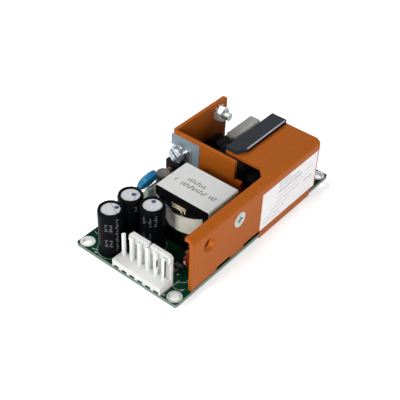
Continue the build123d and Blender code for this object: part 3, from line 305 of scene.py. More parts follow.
# What each finish is called and how it looks. Grain and bump scale are in features for each metre, and the
# bump's depth is in millimetres
FINISHES = {
    "heatsink": dict(
        name="orange_anodised", colour=(0.42, 0.105, 0.012), other=(0.39, 0.096, 0.010),
        rough=(0.36, 0.44), grain=900, metallic=0.12, bump=0.08, bump_scale=5200, bump_depth=0.012,
        specular=0.12, tint=(1.0, 0.55, 0.22),
    ),
    "strip": dict(
        name="dark_insulating_strip", colour=(0.026, 0.028, 0.036), other=(0.020, 0.025, 0.030),
        rough=(0.35, 0.5), grain=200, bump=0.1, bump_scale=2600, specular=0.10,
    ),
    # Pale colour for the painted highlight along the edge strip
    "strip_edge": dict(
        name="painted_highlight_strip", colour=(0.44, 0.45, 0.52), other=(0.38, 0.39, 0.46), rough=(0.3, 0.4),
        grain=700, bump=0.05,
    ),
    "label": dict(
        name="white_label_film", colour=(0.94, 0.94, 0.96), other=(0.91, 0.91, 0.94), rough=(0.35, 0.45),
        grain=200, bump=0.05, specular=0.3,
    ),
    "header": dict(
        name="white_nylon", colour=(0.71, 0.72, 0.71), other=(0.67, 0.68, 0.67), rough=(0.38, 0.5),
        grain=350, bump=0.12, bump_scale=1800, specular=0.3, subsurface=0.1,
    ),
    "tinned": dict(
        name="tin_plate", colour=(0.86, 0.86, 0.84), other=(0.70, 0.70, 0.68), rough=(0.16, 0.32),
        grain=1500, metallic=1.0, bump=0.1,
    ),
    "zinc": dict(
        name="bright_zinc", colour=(0.66, 0.71, 0.74), other=(0.30, 0.34, 0.38), rough=(0.12, 0.24),
        grain=1300, metallic=1.0, bump=0.12,
    ),
    "sleeve": dict(
        name="black_sleeve", colour=(0.004, 0.005, 0.007), other=(0.003, 0.003, 0.004), rough=(0.30, 0.38),
        grain=900, bump=0.06, specular=0.02,
    ),
    "taupe_sleeve": dict(
        name="taupe_sleeve", colour=(0.205, 0.190, 0.175), other=(0.155, 0.140, 0.130), rough=(0.4, 0.5),
        grain=700, bump=0.1, specular=0.25,
    ),
    "screw_plate": dict(
        name="pale_zinc", colour=(0.52, 0.57, 0.54), other=(0.42, 0.47, 0.45), rough=(0.26, 0.36),
        grain=1300, metallic=0.8, bump=0.12,
    ),
    "washer_plate": dict(
        name="washer_plate", colour=(0.78, 0.82, 0.83), other=(0.46, 0.50, 0.53), rough=(0.22, 0.36),
        grain=1300, metallic=0.55, bump=0.12,
    ),
    "pin_plate": dict(
        name="pin_plate", colour=(0.84, 0.85, 0.83), other=(0.74, 0.75, 0.73), rough=(0.36, 0.46),
        grain=1500, metallic=0.2, bump=0.1,
    ),
    "gold_wire": dict(
        name="gold_wire", colour=(0.90, 0.82, 0.62), other=(0.62, 0.50, 0.28), rough=(0.25, 0.38),
        grain=1500, metallic=0.4, bump=0.1, coat=0.3,
    ),
    # Grey for the painted highlight drawn as a wire on the transformer
    "painted_rim_highlight": dict(
        name="painted_rim_highlight", colour=(0.20, 0.19, 0.22), other=(0.14, 0.13, 0.15), rough=(0.35, 0.5),
        grain=1500, bump=0.1,
    ),
    "can": dict(
        name="bare_can", colour=(0.60, 0.61, 0.62), other=(0.50, 0.51, 0.53), rough=(0.34, 0.46),
        grain=900, metallic=0.25, bump=0.15, bump_scale=2500,
    ),
    "ferrite": dict(
        name="ferrite", colour=(0.004, 0.004, 0.005), other=(0.002, 0.002, 0.003), rough=(0.40, 0.60),
        grain=1400, bump=0.35, bump_scale=2400, specular=0.05,
    ),
    "tape": dict(
        name="pale_tape", colour=(0.70, 0.71, 0.70), other=(0.67, 0.68, 0.66), rough=(0.36, 0.46),
        grain=500, bump=0.05, bump_scale=900, specular=0.35,
    ),
    # Darker, yellower colour for the painted shade on the tape's turned-down side
    "tape_painted_shade": dict(
        name="tape_painted_shade", colour=(0.50, 0.47, 0.30), other=(0.40, 0.37, 0.22), rough=(0.4, 0.5), grain=500,
        bump=0.05,
    ),
    "bobbin": dict(
        name="black_phenolic", colour=(0.006, 0.006, 0.007), other=(0.003, 0.003, 0.004),
        rough=(0.30, 0.42), grain=800, bump=0.2, specular=0.06,
    ),
    "winding": dict(
        name="red_enamel_wire", colour=(0.30, 0.055, 0.020), other=(0.20, 0.030, 0.012), rough=(0.2, 0.32),
        grain=1200, metallic=0.35, bump=0.1, coat=0.5,
    ),
    "wound_tape": dict(
        name="cream_tape", colour=(0.97, 0.97, 0.86), other=(0.94, 0.94, 0.82), rough=(0.3, 0.42),
        grain=500, bump=0.1, bump_scale=1200,
    ),
    "black_wire": dict(
        name="dark_enamel_wire", colour=(0.012, 0.008, 0.007), other=(0.006, 0.004, 0.004),
        rough=(0.35, 0.5), grain=1200, metallic=0.1, bump=0.1, specular=0.08,
    ),
    "epoxy": dict(
        name="black_epoxy", colour=(0.006, 0.006, 0.007), other=(0.004, 0.004, 0.005), rough=(0.42, 0.58),
        grain=1500, bump=0.3, bump_scale=5200, specular=0.07,
    ),
    "pad": dict(
        name="grey_pad", colour=(0.20, 0.26, 0.31), other=(0.17, 0.23, 0.26), rough=(0.45, 0.6), grain=240,
        bump=0.12, bump_scale=2800,
    ),
    "blue": dict(
        name="blue_coating", colour=(0.003, 0.23, 0.44), other=(0.002, 0.17, 0.34), rough=(0.30, 0.42),
        grain=420, bump=0.1, bump_scale=700, specular=0.3,
    ),
    "pale_case": dict(
        name="pale_case", colour=(0.30, 0.39, 0.34), other=(0.24, 0.33, 0.28), rough=(0.4, 0.55),
        grain=700, bump=0.15,
    ),
    "grey_box": dict(
        name="grey_box", colour=(0.42, 0.42, 0.38), other=(0.36, 0.36, 0.32), rough=(0.35, 0.5), grain=500,
        bump=0.15,
    ),
    "green_dip": dict(
        name="green_dip", colour=(0.020, 0.050, 0.030), other=(0.012, 0.034, 0.020), rough=(0.3, 0.5),
        grain=700, bump=0.3, bump_scale=1500,
    ),
    "chip": dict(
        name="chip_ceramic", colour=(0.040, 0.038, 0.036), other=(0.025, 0.024, 0.023), rough=(0.35, 0.5),
        grain=900,
    ),
    "solder": dict(
        name="solder", colour=(0.72, 0.73, 0.74), other=(0.56, 0.57, 0.58), rough=(0.2, 0.36), grain=900,
        metallic=1.0, bump=0.1,
    ),
    "silk": dict(
        name="white_print", colour=(0.62, 0.66, 0.62), other=(0.40, 0.46, 0.42), rough=(0.5, 0.6),
        grain=900, bump=0,
    ),
    "ring_plate": dict(
        name="ring_plate", colour=(0.62, 0.63, 0.62), other=(0.44, 0.46, 0.45), rough=(0.25, 0.4),
        grain=1600, metallic=0.8, bump=0.2,
    ),
    "grey_ink": dict(
        name="grey_ink", colour=(0.19, 0.21, 0.22), other=(0.10, 0.11, 0.12), rough=(0.4, 0.5), grain=1500,
        bump=0,
    ),
    "box_ink": dict(
        name="box_ink", colour=(0.24, 0.24, 0.22), other=(0.30, 0.30, 0.28), rough=(0.4, 0.5), grain=1500,
        bump=0,
    ),
    "faded_ink": dict(
        name="faded_ink", colour=(0.028, 0.030, 0.040), other=(0.085, 0.086, 0.10), rough=(0.4, 0.5),
        grain=1500, bump=0,
    ),
    "grey_print": dict(
        name="grey_print", colour=(0.22, 0.22, 0.25), other=(0.36, 0.36, 0.40), rough=(0.4, 0.5),
        grain=1500, bump=0,
    ),
    "pale_print": dict(
        name="pale_print", colour=(0.52, 0.53, 0.57), other=(0.66, 0.67, 0.71), rough=(0.4, 0.5),
        grain=1500, bump=0,
    ),
    "blue_ink": dict(
        name="blue_ink", colour=(0.006, 0.035, 0.17), other=(0.004, 0.020, 0.10), rough=(0.35, 0.5),
        grain=1500, bump=0,
    ),
    # Dark grey for painted shade along the pressed vent lines
    "vent_shade": dict(
        name="vent_shade", colour=(0.17, 0.17, 0.18), other=(0.10, 0.10, 0.11), rough=(0.4, 0.5),
        grain=1500, bump=0,
    ),
    # Dark colour for painted shade on the header pins and along the fixing screw
    "painted_dark_shade": dict(
        name="painted_dark_shade", colour=(0.035, 0.035, 0.033), other=(0.020, 0.020, 0.019), rough=(0.4, 0.5),
        grain=1500, bump=0,
    ),
    "pad_plate": dict(
        name="pad_plate", colour=(0.50, 0.40, 0.38), other=(0.34, 0.28, 0.27), rough=(0.3, 0.45),
        grain=1500, metallic=0.3, bump=0.1,
    ),
    "brown_bit": dict(
        name="brown_bit", colour=(0.34, 0.11, 0.06), other=(0.22, 0.07, 0.04), rough=(0.3, 0.45),
        grain=900, bump=0.1,
    ),
}

# Weave in the board's cut edge, finer along its thickness, and how level a face is that has the green mask
WEAVE_GRAIN = 1400
WEAVE_STRETCH = (1, 1, 4)
WEAVE_DARK = (0.14, 0.20, 0.16)
WEAVE_LIGHT = (0.24, 0.30, 0.26)
LEVEL_FACE = 0.5


def board_material():
    """Green mask on both faces, bare laminate on every cut edge, from the direction of the face."""
    material = finish_of(
        name="board_mask", colour=(0.002, 0.044, 0.022), other=(0.001, 0.024, 0.012), rough=(0.28, 0.40),
        grain=260, bump=0.1, bump_scale=1500, specular=0.02,
    )
    nodes, links = material.node_tree.nodes, material.node_tree.links
    surface = nodes["Principled BSDF"]
    mask = surface.inputs["Base Color"].links[0].from_socket
    threads = noise(nodes, links, WEAVE_GRAIN, FINE_DETAIL, WEAVE_STRETCH)
    weave = ramp(nodes, links, threads, WEAVE_DARK, WEAVE_LIGHT)
    direction = nodes.new("ShaderNodeNewGeometry")
    parts = nodes.new("ShaderNodeSeparateXYZ")
    links.new(direction.outputs["Normal"], parts.inputs[0])
    upright = nodes.new("ShaderNodeMath")
    upright.operation = "ABSOLUTE"
    links.new(parts.outputs["Z"], upright.inputs[0])
    face = nodes.new("ShaderNodeMath")
    face.operation = "GREATER_THAN"
    face.inputs[1].default_value = LEVEL_FACE
    links.new(upright.outputs[0], face.inputs[0])
    mix = nodes.new("ShaderNodeMix")
    mix.data_type = "RGBA"
    links.new(face.outputs[0], mix.inputs["Factor"])
    links.new(weave, mix.inputs["A"])
    links.new(mask, mix.inputs["B"])
    links.new(mix.outputs["Result"], surface.inputs["Base Color"])
    return material


MATERIALS = {}


def make_materials():
    for slot, settings in FINISHES.items():
        MATERIALS[slot] = finish_of(**settings)
    MATERIALS["board"] = board_material()


# Pieces
def piece(name, mesh, material, replaces=()):
    """Links a mesh as a piece that rides on the part."""
    obj = bpy.data.objects.new(name, mesh)
    bpy.context.scene.collection.objects.link(obj)
    mesh.materials.append(MATERIALS[material])
    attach(obj, "root")
    if replaces:
        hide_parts(*replaces)
    return obj


# Angles in degrees: above the first an edge stays sharp in shading, above the second it is rounded, and
# below the third it goes, because its faces lie in one plane
SHARP_ANGLE = 32
BEVEL_ANGLE = 38
FLAT_ANGLE = 0.5
BEVEL_SEGMENTS = 2
MERGE_DISTANCE = 1e-7


def smooth_by_angle(bm, degrees=SHARP_ANGLE):
    """Smooth shading with sharp edges where faces meet at more than the angle."""
    for face in bm.faces:
        face.smooth = True
    for edge in bm.edges:
        edge.smooth = len(edge.link_faces) == 2 and edge.calc_face_angle(0) < math.radians(degrees)


def softened(node, material, width):
    """The node's own shape with its sharp edges rounded as on the real piece."""
    source = frame["nodes"][node]
    mesh = source.data.copy()
    mesh.materials.clear()
    bm = bmesh.new()
    bm.from_mesh(mesh)
    bmesh.ops.remove_doubles(bm, verts=bm.verts, dist=MERGE_DISTANCE)
    bmesh.ops.dissolve_limit(bm, angle_limit=math.radians(FLAT_ANGLE), verts=bm.verts, edges=bm.edges)
    smooth_by_angle(bm)
    bm.to_mesh(mesh)
    bm.free()
    obj = piece(node + "_finished", mesh, material, (node,))
    bevel = obj.modifiers.new("edges", "BEVEL")
    bevel.width = width * MM
    bevel.segments = BEVEL_SEGMENTS
    bevel.limit_method = "ANGLE"
    bevel.angle_limit = math.radians(BEVEL_ANGLE)
    bevel.use_clamp_overlap = True
    bevel.harden_normals = True


# Nodes whose finish in the photo differs from that of their slot
OWN_FINISH = {
    "auxiliary_capacitor": "taupe_sleeve",
    "auxiliary_capacitor_sleeve": "taupe_sleeve",
    "countersunk_screws": "screw_plate",
    "output_header_pins": "pin_plate",
    "star_washer": "washer_plate",
    "hex_nuts": "washer_plate",
}

# Nodes whose edges are rounded, with their finish and the width of the rounding in millimetres
ROUNDED = {
    "main_heatsink": ("heatsink", 0.10),
    "side_heatsink": ("heatsink", 0.10),
    "heatsink_edge_strip": ("strip", 0.05),
    "output_header_housing": ("header", 0.10),
    "input_header_housing": ("header", 0.10),
    "transformer_tape": ("tape", 0.35),
    "transformer_bobbin": ("bobbin", 0.12),
    "transformer_winding": ("wound_tape", 0.2),
    "front_transistor_case": ("epoxy", 0.12),
    "rectifier_case": ("epoxy", 0.12),
    "cheese_head_screw": ("zinc", 0.15),
    "flat_washer": ("zinc", 0.08),
    "hex_nuts": ("washer_plate", 0.15),
    "star_washer": ("washer_plate", 0.05),
    "filter_capacitor": ("grey_box", 0.15),
    "bridge_rectifier": ("epoxy", 0.2),
    "fuse": ("bobbin", 0.3),
}


def dress_nodes():
    """Every node keeps its record slot's finish unless a later piece replaces it."""
    for row in frame["record"]["subparts"]:
        node = frame["nodes"][row["node"]]
        node.data.materials.clear()
        finish = OWN_FINISH.get(row["node"], row["material_slot"])
        node.data.materials.append(MATERIALS[finish])


# Places read from the solids
def middle(node):
    low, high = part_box(node)
    return (low + high) / 2


def facing(angle):
    """A direction in plan, in degrees from the side that faces the camera, to the camera's right."""
    azimuth = math.radians(CAMERA_AZIMUTH + angle)
    return Vector((math.sin(azimuth), -math.cos(azimuth), 0))


# Flat print, made of separate patches
RIGHT = Vector((1, 0, 0))
ALONG = Vector((0, 1, 0))
UP = Vector((0, 0, 1))

# How far print stands off what it is on: SKIN in metres, on flat pieces; PRINT_LIFT in millimetres, on the
# board, sleeves and cans
SKIN = 0.02 * MM
PRINT_LIFT = 0.03


def quads_piece(name, quads, material):
    """One piece of separate four-sided patches."""
    mesh = bpy.data.meshes.new(name)
    points = [tuple(p) for quad in quads for p in quad]
    mesh.from_pydata(points, [], [tuple(range(4 * k, 4 * k + 4)) for k in range(len(quads))])
    piece(name, mesh, material)


def flat_patch(origin, right, up, x0, x1, y0, y1):
    """A rectangle on a plane, in millimetres from its origin."""
    return [
        origin + (right * x0 + up * y0) * MM,
        origin + (right * x1 + up * y0) * MM,
        origin + (right * x1 + up * y1) * MM,
        origin + (right * x0 + up * y1) * MM,
    ]


def stroke_quads(points, width, z):
    """A line of print along points in plan, in millimetres."""
    quads = []
    for a, b in zip(points, points[1:]):
        start = Vector((a[0], a[1], z)) * MM
        end = Vector((b[0], b[1], z)) * MM
        along = (end - start).normalized()
        side = Vector((-along.y, along.x, 0)) * width / 2 * MM
        start -= along * width / 2 * MM
        end += along * width / 2 * MM
        quads.append([start - side, end - side, end + side, start + side])
    return quads


def arc(x, y, radius, first, last, steps):
    """Points along a circle in plan, between two angles in degrees."""
    points = []
    for k in range(steps + 1):
        angle = math.radians(first + (last - first) * k / steps)
        points.append((x + radius * math.cos(angle), y + radius * math.sin(angle)))
    return points


# Strokes in a row of marks, as shares of a mark's width and height
STROKE_SHARE = 0.45
SHORT_STROKE = 0.72
FOOT_HEIGHT = 0.22
CAP_START = 0.78


def row_of_marks(origin, right, up, start, end, base, height, pitch, fill):
    """Upright strokes in a row, each with a foot or a cap. None of them is a character."""
    quads = []
    count = int((end - start) / pitch)
    for n in range(count):
        x = start + n * pitch
        width = pitch * fill
        turn = x + width * STROKE_SHARE
        tall = height * (1.0 if n % 3 else SHORT_STROKE)
        quads.append(flat_patch(origin, right, up, x, turn, base, base + tall))
        if n % 2:
            low, high = base, base + height * FOOT_HEIGHT
        else:
            low, high = base + tall * CAP_START, base + tall
        quads.append(flat_patch(origin, right, up, turn, x + width, low, high))
    return quads


# Round shapes, made of rings of points
ROUND_SIDES = 48
SMALL_SIDES = 20
WIRE_SIDES = 10


def circle(bm, x, y, z, radius_x, radius_y, sides):
    """A level ring of points, round or oval, in metres."""
    points = []
    for k in range(sides):
        angle = 2 * math.pi * k / sides
        points.append(bm.verts.new((x + radius_x * math.cos(angle), y + radius_y * math.sin(angle), z)))
    return points


def join_rings(bm, first, second, flipped=False):
    """Smooth faces between two rings. They face out where the second ring is above the first."""
    for k in range(len(first)):
        n = (k + 1) % len(first)
        if flipped:
            corners = [first[n], first[k], second[k], second[n]]
        else:
            corners = [first[k], first[n], second[n], second[k]]
        bm.faces.new(corners).smooth = True


def close_rings(bm, rings):
    """Joins rings from the first to the last, and closes both ends."""
    for first, second in zip(rings, rings[1:]):
        join_rings(bm, first, second)
    bm.faces.new(rings[0][::-1])
    bm.faces.new(rings[-1])


def mesh_piece(name, bm, material):
    """One piece of the faces made so far."""
    mesh = bpy.data.meshes.new(name)
    bm.to_mesh(mesh)
    bm.free()
    piece(name, mesh, material)


def tube(name, paths, radius, material):
    """Round wires along points in millimetres, with soft bends."""
    bm = bmesh.new()
    for path in paths:
        points = [Vector(p) * MM for p in path]
        rings = []
        for k, point in enumerate(points):
            ahead = points[min(k + 1, len(points) - 1)] - points[max(k - 1, 0)]
            turn = ahead.to_track_quat("Z", "Y")
            ring = []
            for n in range(WIRE_SIDES):
                angle = 2 * math.pi * n / WIRE_SIDES
                spoke = turn @ Vector((math.cos(angle), math.sin(angle), 0))
                ring.append(bm.verts.new(point + spoke * radius * MM))
            rings.append(ring)
        close_rings(bm, rings)
    mesh_piece(name, bm, material)


# Board: plated holes and white print
HOLE_INSET = 3.175 * MM
RING_INNER = 1.98 * MM
RING_OUTER = 3.0 * MM


def ring_faces(bm, centre, z, up):
    """A flat ring round a mounting hole, facing up or down."""
    inside = circle(bm, centre.x, centre.y, z, RING_INNER, RING_INNER, ROUND_SIDES)
    outside = circle(bm, centre.x, centre.y, z, RING_OUTER, RING_OUTER, ROUND_SIDES)
    for k in range(ROUND_SIDES):
        n = (k + 1) % ROUND_SIDES
        face = [inside[k], outside[k], outside[n], inside[n]]
        bm.faces.new(face if up else face[::-1])


def mounting_rings():
    """Silver rings round the four mounting holes, and their plated walls."""
    low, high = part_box("circuit_board")
    bottom = low.z - PRINT_LIFT * MM
    top = high.z + PRINT_LIFT * MM
    bm = bmesh.new()
    for x in (low.x + HOLE_INSET, high.x - HOLE_INSET):
        for y in (low.y + HOLE_INSET, high.y - HOLE_INSET):
            centre = Vector((x, y, 0))
            ring_faces(bm, centre, top, True)
            ring_faces(bm, centre, bottom, False)
            wall_bottom = circle(bm, centre.x, centre.y, bottom, RING_INNER, RING_INNER, ROUND_SIDES)
            wall_top = circle(bm, centre.x, centre.y, top, RING_INNER, RING_INNER, ROUND_SIDES)
            join_rings(bm, wall_bottom, wall_top, flipped=True)
    mesh_piece("mounting_rings", bm, "ring_plate")


# Rings printed round the capacitors: radius and line width in millimetres, and the angles of their ends
CAP_RING = 5.75
CAP_RING_LINE = 0.16
CAP_RING_ENDS = (150, 420)
CAP_RING_STEPS = 40
HEADER_LINE_GAP = 0.35


def board_print():
    """White outlines on the board: rings round the capacitors, and lines beside the header."""
    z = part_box("circuit_board")[1].z / MM + PRINT_LIFT
    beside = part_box("output_header_housing")[1].x / MM + HEADER_LINE_GAP
    quads = []
    for k in (1, 2, 3):
        place = middle(f"output_capacitor_{k}_sleeve") / MM
        ring = arc(place.x, place.y, CAP_RING, *CAP_RING_ENDS, CAP_RING_STEPS)
        quads += stroke_quads(ring, CAP_RING_LINE, z)
    strokes = (
        (0.2, [(beside, -50.3), (beside, -40.2)]),
        (0.16, [(beside, -43.2), (18.6, -44.2), (19.7, -44.5), (21.4, -43.8), (22.7, -42.4)]),
        (0.16, [(beside, -43.2), (18.5, -41.4), (19.6, -40.2), (21.2, -39.2)]),
        (0.14, [(20.2, -38.2), (22.6, -39.4)]),
        (0.14, [(20.6, -36.9), (22.8, -38.0)]),
        (0.12, [(10.8, -37.6), (14.2, -37.6), (14.2, -33.0)]),
        (0.12, [(6.6, -39.4), (9.2, -39.4)]),
        (0.16, [(-24.4, -41.7), (-22.6, -42.1), (-22.2, -40.2)]),
        (0.34, [(-18.2, -49.2), (-17.2, -49.0)]),
        (0.34, [(-16.8, -48.7), (-16.1, -48.6)]),
        (0.34, [(-16.1, -49.9), (-15.2, -49.8)]),
        (0.4, [(21.7, -43.7), (22.5, -43.4)]),
        (0.35, [(18.9, -49.9), (18.9, -49.2)]),
    )
    for width, points in strokes:
        quads += stroke_quads(points, width, z)
    quads_piece("board_print", quads, "silk")


# Bare pads on the board: places, and half of each pad's length and width
PAD_PLACES = ((12.4, -34.4), (14.7, -34.2), (10.4, -36.6), (15.8, -38.2))
PAD_X = 0.35
PAD_Y = 0.3


def component_pads():
    """Small bare pads beside the chips by the wall."""
    origin = Vector((0, 0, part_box("circuit_board")[1].z + PRINT_LIFT * MM))
    quads = []
    for x, y in PAD_PLACES:
        quads.append(flat_patch(origin, RIGHT, ALONG, x - PAD_X, x + PAD_X, y - PAD_Y, y + PAD_Y))
    quads_piece("component_pads", quads, "pad_plate")


# Solder under the board
SOLDERED = (
    "output_header_pins", "input_header_pins", "output_capacitor_1", "output_capacitor_2",
    "output_capacitor_3", "auxiliary_capacitor", "bulk_capacitor", "transformer_pins",
    "front_transistor_leadframe", "rectifier_leadframe", "output_choke_winding", "disc_capacitor",
    "inrush_thermistor", "optocoupler", "filter_capacitor", "line_choke_windings", "bridge_rectifier",
    "fuse", "snubber_diode", "snubber_resistor", "side_heatsink",
)
# Points below this height belong to leads, and to the same lead or tab when they are this near
LEAD_HEIGHT = -1.0 * MM
LEAD_REACH = 1.3 * MM
TAB_REACH = 3.3 * MM
# The fillet's side: how far it stands out from the lead, and how far it hangs below the board
SOLDER_PROFILE = ((0.75, 0.01), (0.62, 0.12), (0.34, 0.35), (0.16, 0.75), (0.02, 1.25))


def lead_ends(node):
    """The plan box of each lead that comes out under the board."""
    source = frame["nodes"][node]
    reach = TAB_REACH if node == "side_heatsink" else LEAD_REACH
    groups = []
    for vertex in source.data.vertices:
        point = source.matrix_world @ vertex.co
        if point.z > LEAD_HEIGHT:
            continue
        near = [g for g in groups if any(math.hypot(point.x - q[0], point.y - q[1]) < reach for q in g)]
        joined = {(round(point.x, 7), round(point.y, 7))}
        for group in near:
            joined |= group
            groups.remove(group)
        groups.append(joined)
    boxes = []
    for group in groups:
        xs = [p[0] for p in group]
        ys = [p[1] for p in group]
        boxes.append((min(xs), max(xs), min(ys), max(ys)))
    return boxes


def solder_joints():
    """A hollow-sided fillet of solder round each lead under the board."""
    bm = bmesh.new()
    for node in SOLDERED:
        for x0, x1, y0, y1 in lead_ends(node):
            centre = Vector(((x0 + x1) / 2, (y0 + y1) / 2, 0))
            half_x, half_y = (x1 - x0) / 2, (y1 - y0) / 2
            rings = []
            for grow, drop in SOLDER_PROFILE:
                wide, deep = half_x + grow * MM, half_y + grow * MM
                rings.append(circle(bm, centre.x, centre.y, -drop * MM, wide, deep, SMALL_SIDES))
            for upper, lower in zip(rings, rings[1:]):
                join_rings(bm, upper, lower, flipped=True)
            bm.faces.new(rings[-1][::-1])
    mesh_piece("solder_joints", bm, "solder")


# Header: painted shade beside the last pins and on the ends of the pins, in millimetres
PIN_PITCH = 3.96
PIN_COUNT = 6
HALF_PIN = 0.57
HALF_SHADE = 0.45
HALF_TIP = 0.22
# Shaded pins, counted back from the last one, and the heights between which each is shaded
PIN_SHADES = ((1, 9.4, 12.8), (0, 6.4, 15.0))


# Painted shade: dark patches on the sides of the last two pins, and on the end of every pin
def header_painted_shade():
    low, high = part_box("output_header_pins")
    y = high.y / MM - HALF_PIN
    quads = []
    for back, low_z, high_z in PIN_SHADES:
        side = Vector((high.x - back * PIN_PITCH * MM + SKIN, 0, 0))
        quads.append(flat_patch(side, ALONG, UP, y - HALF_SHADE, y + HALF_SHADE, low_z, high_z))
    tips = Vector((low.x + HALF_PIN * MM, 0, high.z + SKIN))
    for number in range(PIN_COUNT):
        x = PIN_PITCH * number
        quads.append(flat_patch(tips, RIGHT, ALONG, x - HALF_TIP, x + HALF_TIP, y - HALF_TIP, y + HALF_TIP))
    quads_piece("header_painted_shade", quads, "painted_dark_shade")


# Capacitors: printed and rolled sleeves, cap tops with a vent line and an ink dot
# Columns on each sleeve: degrees from the camera side, where each part starts below the top, and its length
SLEEVE_PRINT = {
    1: ((-16, (3.9, 11.6), 3.9), (6, (3.9, 11.6), 3.9), (34, (1.6,), 17.0)),
    2: ((30, (2.2,), 3.0), (-62, (7.0,), 4.0)),
    3: ((-34, (2.6, 10.4), 4.4), (-6, (2.6, 10.4), 5.0), (20, (1.4,), 6.0)),
}
DASH_PITCH = 0.95
DASH_HEIGHT = 0.32
# Each dash's half width and how much that and its place vary, in degrees, with the phase from dash to dash
DASH_HALF = 5.5
DASH_SPREAD = 2.0
SPREAD_PHASE = 1.7
DASH_SHIFT = 2.2
SHIFT_PHASE = 2.1


def sleeve_patch(centre, radius, angle0, angle1, z0, z1):
    """A patch of print on a sleeve, in two flat strips."""
    quads = []
    for a, b in ((angle0, (angle0 + angle1) / 2), ((angle0 + angle1) / 2, angle1)):
        left = centre + facing(a) * radius
        right = centre + facing(b) * radius
        quads.append([
            Vector((left.x, left.y, z0)),
            Vector((right.x, right.y, z0)),
            Vector((right.x, right.y, z1)),
            Vector((left.x, left.y, z1)),
        ])
    return quads


def sleeve_print(k):
    """Columns of short dashes on a sleeve."""
    low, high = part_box(f"output_capacitor_{k}_sleeve")
    centre = (low + high) / 2
    radius = (high.x - low.x) / 2 + PRINT_LIFT * MM
    quads = []
    for angle, drops, length in SLEEVE_PRINT[k]:
        for drop in drops:
            top = high.z - drop * MM
            for n in range(int(length / DASH_PITCH)):
                z = top - n * DASH_PITCH * MM
                shift = DASH_SHIFT * math.sin(SHIFT_PHASE * n + angle)
                half = DASH_HALF + DASH_SPREAD * math.cos(SPREAD_PHASE * n + k)
                first, last = angle - half + shift, angle + half + shift
                quads += sleeve_patch(centre, radius, first, last, z - DASH_HEIGHT * MM, z)
    quads_piece(f"sleeve_print_{k}", quads, "grey_ink")


# Marks on each top: the ink dot, then the vent line's ends, in degrees from the camera side and millimetres
# from the middle
TOP_MARKS = {
    1: ((118, 2.5), ((186, 3.7), (48, 3.7))),
    2: ((112, 1.3), ((128, 3.6), (20, 3.6))),
    3: ((172, 2.2), None),
}
DOT_RADIUS = 0.92
DOT_STEPS = 23
DOT_LAST = 345
VENT_WIDTH = 0.22
VENT_DROP = 0.01


def on_top(centre, angle, reach):
    """A place on a can's top, in plan and in millimetres."""
    place = centre + facing(angle) * reach * MM
    return (place.x / MM, place.y / MM)


def top_marks(k):
    """The ink dot, and painted shade along the pressed vent line, on a can's top."""
    centre = middle(f"output_capacitor_{k}_sleeve")
    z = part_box(f"output_capacitor_{k}")[1].z / MM + PRINT_LIFT
    dot, vent = TOP_MARKS[k]
    x, y = on_top(centre, *dot)
    mesh = bpy.data.meshes.new(f"ink_dot_{k}")
    rim = [(px * MM, py * MM, z * MM) for px, py in arc(x, y, DOT_RADIUS, 0, DOT_LAST, DOT_STEPS)]
    mesh.from_pydata(rim, [], [tuple(range(len(rim)))])
    piece(f"ink_dot_{k}", mesh, "blue_ink")
    if vent:
        ends = [on_top(centre, angle, reach) for angle, reach in vent]
        quads_piece(f"vent_line_{k}", stroke_quads(ends, VENT_WIDTH, z - VENT_DROP), "vent_shade")


# The rolled edge of each sleeve: thickness, distance from the middle, and depth below the sleeve's top
RIM_SIDES = 12
RIM_BEAD = 0.60 * MM
RIM_REACH = 4.28 * MM
RIM_SINK = 0.12 * MM


def sleeve_rims():
    """The thick rolled edge that closes each sleeve over its can."""
    bm = bmesh.new()
    for number in (1, 2, 3):
        centre = middle(f"output_capacitor_{number}_sleeve")
        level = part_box(f"output_capacitor_{number}_sleeve")[1].z - RIM_SINK
        rings = []
        for k in range(ROUND_SIDES):
            turn = 2 * math.pi * k / ROUND_SIDES
            ring = []
            for n in range(RIM_SIDES):
                angle = 2 * math.pi * n / RIM_SIDES
                radius = RIM_REACH + RIM_BEAD * math.cos(angle)
                ring.append(bm.verts.new((
                    centre.x + radius * math.cos(turn),
                    centre.y + radius * math.sin(turn),
                    level + RIM_BEAD * math.sin(angle),
                )))
            rings.append(ring)
        for k in range(ROUND_SIDES):
            here = rings[k]
            ahead = rings[(k + 1) % ROUND_SIDES]
            for n in range(RIM_SIDES):
                m = (n + 1) % RIM_SIDES
                bm.faces.new([here[n], ahead[n], ahead[m], here[m]]).smooth = True
    mesh_piece("sleeve_rims", bm, "sleeve")


# Transformer: painted shade on the side of the tape, plain marks on its top, wires, and a painted highlight
# drawn as a wire, in millimetres
TAPE_SIDE_TOP = 0.4
TAPE_SIDE_DEPTH = 5.0
TAPE_SIDE_MARGIN = 0.1
# Rows of marks: from and to across the tape, the place of their foot along the board, and for all of them
# their height, pitch and fill
TAPE_ROWS = ((-5.6, -3.6, -15.9), (-2.3, 9.9, -16.2), (11.2, 14.8, -16.0), (-1.6, 8.0, -12.9))
TAPE_MARK = (2.0, 1.1, 0.74)


def tape_side():
    """Painted shade, darker and yellower than the tape, on the side of the tape where it turns down over the
    core.
    """
    low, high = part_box("transformer_tape")
    origin = Vector((high.x + SKIN, 0, 0))
    top = high.z / MM
    front, rear = low.y / MM + TAPE_SIDE_MARGIN, high.y / MM - TAPE_SIDE_MARGIN
    quad = flat_patch(origin, ALONG, UP, front, rear, top - TAPE_SIDE_DEPTH, top - TAPE_SIDE_TOP)
    quads_piece("tape_side", [quad], "tape_painted_shade")


def tape_print():
    origin = Vector((0, 0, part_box("transformer_tape")[1].z + SKIN))
    quads = []
    for start, end, base in TAPE_ROWS:
        quads += row_of_marks(origin, RIGHT, ALONG, start, end, base, *TAPE_MARK)
    quads_piece("tape_print", quads, "faded_ink")


